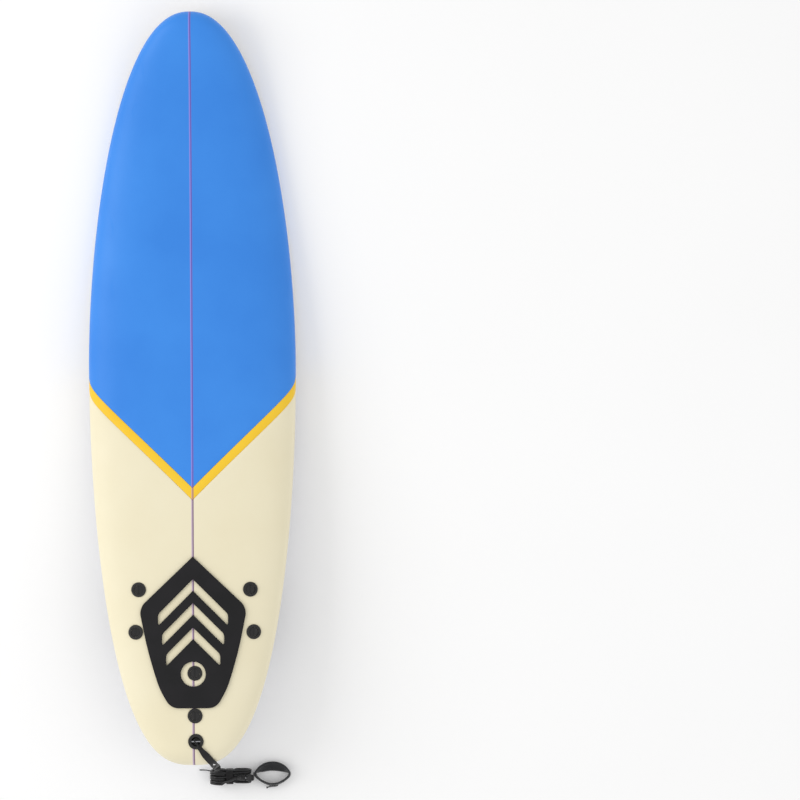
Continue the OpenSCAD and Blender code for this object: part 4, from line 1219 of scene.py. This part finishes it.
def bead_foam():
    """Expanded bead foam: packed beads with dark seams between them."""
    f = Finish("white_bead_foam", 0.8)
    seam = f.between(f.cells(260.0, feature="DISTANCE_TO_EDGE"), 0.0, 0.08)
    tint = f.cells(260.0, output="Color")
    grey = f.node("SeparateXYZ", Vector=tint).outputs["X"]
    base = f.mix(f.maths("MULTIPLY", grey, 0.4), linear((246, 246, 243)), linear((232, 232, 228)))
    f.colour(f.mix(seam, linear((206, 206, 202)), base))
    f.rough(seam, 0.9, 0.72)
    f.bump(seam, 0.0004, 0.7)
    return f


bead_foam().on(frame["nodes"]["left_foam_blank"], frame["nodes"]["right_foam_blank"])


def plywood():
    """Stringer plywood: five plies across its thickness, each with long wavy grain."""
    f = Finish("birch_ply", 0.6)
    grain = f.noise(90.0, 5, f.stretched(0.06, 1.0, 1.0), 0.6)
    ply = f.maths("PINGPONG", f.maths("ADD", f.axis("Y"), 0.0025), 0.001)
    seam = f.between(ply, 0.0, 0.00012, 1.0, 0.0)
    base = f.mix(f.between(grain, 0.3, 0.7), linear((214, 180, 130)), linear((186, 146, 96)))
    f.colour(f.mix(f.maths("MULTIPLY", seam, 0.6), base, linear((130, 94, 58))))
    f.rough(grain, 0.5, 0.72)
    f.bump(grain, 0.0002, 0.5)
    return f


plywood().on(frame["nodes"]["stringer"])


def urethane_cord():
    """Cast urethane cord: smooth and slightly cloudy, with faint draw rings and handling marks."""
    f = Finish("black_urethane_cord", 0.3, coords="UV", Specular_IOR_Level=0.4, Coat_Weight=0.05)
    cloud = f.between(f.noise(120.0, 3), 0.3, 0.7)
    rings = f.noise(700.0, 2, f.stretched(1.0, 0.05, 1.0))
    f.colour(f.mix(cloud, linear((24, 24, 25)), linear((34, 34, 35))))
    f.rough(f.maths("MULTIPLY_ADD", rings, 0.4, f.maths("MULTIPLY", cloud, 0.6)), 0.28, 0.5)
    f.bump(rings, 0.00008, 0.4)
    return f


urethane_cord().on(leash)


def woven(name, colour, lighter, warp, weft, depth, rough_low, rough_high, sheen):
    """Woven webbing on the piece's own UV map, in metres: warp ribs along the strap and weft bars across
    it, set off by half a bar on every second rib, with painted shade darkening the grooves between them."""
    f = Finish(name, rough_low, coords="UV", Specular_IOR_Level=0.3, Sheen_Weight=sheen, Sheen_Roughness=0.4)
    u, v = f.axis("X"), f.axis("Y")
    rib = f.maths("ABSOLUTE", f.maths("SINE", f.maths("MULTIPLY", v, math.pi / warp)))
    row = f.maths("FLOOR", f.maths("DIVIDE", v, warp))
    shift = f.maths("MULTIPLY", row, weft / 2)
    bar = f.maths("ABSOLUTE", f.maths("SINE", f.maths("MULTIPLY", f.maths("ADD", u, shift), math.pi / weft)))
    cloth = f.maths("MULTIPLY", f.maths("POWER", rib, 0.6), f.maths("POWER", bar, 0.5))
    fade = f.between(f.noise(90.0, 4), 0.3, 0.72)
    base = f.mix(fade, linear(colour), linear(lighter))
    # Painted shade: the low grooves of the weave are darkened towards a third of the thread colour.
    f.colour(f.mix(f.maths("MULTIPLY", f.maths("SUBTRACT", 1.0, cloth), 0.65), base,
                   linear([c // 3 for c in colour])))
    f.rough(cloth, rough_high, rough_low)
    f.bump(cloth, depth, 0.8)
    f.bump(f.noise(4200.0, 2), 0.00004, 0.5)
    return f


webbing = woven("black_webbing", (30, 29, 30), (42, 41, 42), 0.0011, 0.0016, 0.0003, 0.55, 0.8, 0.2)
webbing.on(saver, tie, tab)
woven("braided_string", (22, 22, 23), (33, 33, 34), 0.0008, 0.0014, 0.0003, 0.6, 0.82, 0.15).on(string,
                                                                                                tie_string)


def cuff_fabric():
    """Cuff: knitted jersey over neoprene, its loops in fine staggered columns with painted shade in the gaps
    between them, and soft dents in the foam."""
    f = Finish("charcoal_cuff_jersey", 0.8, coords="UV", Specular_IOR_Level=0.25, Sheen_Weight=0.35,
               Sheen_Roughness=0.45)
    u, v = f.axis("X"), f.axis("Y")
    column = f.maths("ABSOLUTE", f.maths("SINE", f.maths("MULTIPLY", u, math.pi / 0.0011)))
    lean = f.maths("MULTIPLY", column, 0.0005)
    loop = f.maths("ABSOLUTE",
                   f.maths("SINE", f.maths("MULTIPLY", f.maths("ADD", v, lean), math.pi / 0.0009)))
    knit = f.maths("MULTIPLY", column, loop)
    fade = f.between(f.noise(60.0, 4), 0.3, 0.7)
    base = f.mix(fade, linear((50, 51, 53)), linear((64, 65, 67)))
    # Painted shade: the low gaps of the knit are darkened towards (22, 22, 24).
    f.colour(f.mix(f.maths("MULTIPLY", f.maths("SUBTRACT", 1.0, knit), 0.55), base, linear((22, 22, 24))))
    f.rough(knit, 0.88, 0.7)
    f.bump(f.noise(110.0, 2), 0.0005, 0.35)
    f.bump(knit, 0.00022, 0.7)
    return f


cuff_fabric().on(cuff, flap)


def thread():
    """Sewing thread: a tight twist of paler grey."""
    f = Finish("grey_sewing_thread", 0.6, Sheen_Weight=0.2)
    twist = f.noise(3200.0, 2)
    f.colour(f.mix(twist, linear((70, 71, 74)), linear((98, 99, 102))))
    f.rough(twist, 0.5, 0.75)
    f.bump(twist, 0.00005, 0.6)
    return f


thread().on(seams)

# ---- Floor and light ----

FLOOR = 8.0
floor_mesh = bpy.data.meshes.new("floor")
floor_mesh.from_pydata([(-FLOOR, -FLOOR, 0), (FLOOR, -FLOOR, 0), (FLOOR, FLOOR, 0), (-FLOOR, FLOOR, 0)], [],
                       [(0, 1, 2, 3)])
floor = bpy.data.objects.new("floor", floor_mesh)
bpy.context.scene.collection.objects.link(floor)
paper = Finish("pale_studio_floor", 0.95, Specular_IOR_Level=0.1, Emission_Strength=0.07)
paper.shader.inputs["Emission Color"].default_value = (1.0, 1.0, 1.0, 1.0)
paper.colour(paper.mix(paper.noise(1.5, 2), linear((252, 252, 252)), linear((249, 249, 249))))
paper.on(floor)

world = bpy.data.worlds.new("studio")
bpy.context.scene.world = world
world.use_nodes = True
world.node_tree.nodes["Background"].inputs["Color"].default_value = (1.0, 1.0, 1.0, 1.0)
world.node_tree.nodes["Background"].inputs["Strength"].default_value = 0.77


def softbox(name, power, size, at, aim):
    """A square area light that faces a point."""
    data = bpy.data.lights.new(name, "AREA")
    data.energy, data.size = power, size
    light = bpy.data.objects.new(name, data)
    bpy.context.scene.collection.objects.link(light)
    back = unit(np.array(at, float) - np.array(aim, float))
    across = unit(np.cross([0, 0, 1.0], back))
    basis = np.eye(4)
    basis[:3, 0], basis[:3, 1], basis[:3, 2], basis[:3, 3] = across, np.cross(back, across), back, at
    light.matrix_world = Matrix(basis)


softbox("key_softbox", 90.0, 3.2, (0.6, 4.2, 3.0), (0, 0, 0))
softbox("fill_softbox", 12.0, 3.2, (-1.0, -3.2, 3.4), (0, 0, 0))
bpy.context.scene.view_settings.view_transform = "Standard"
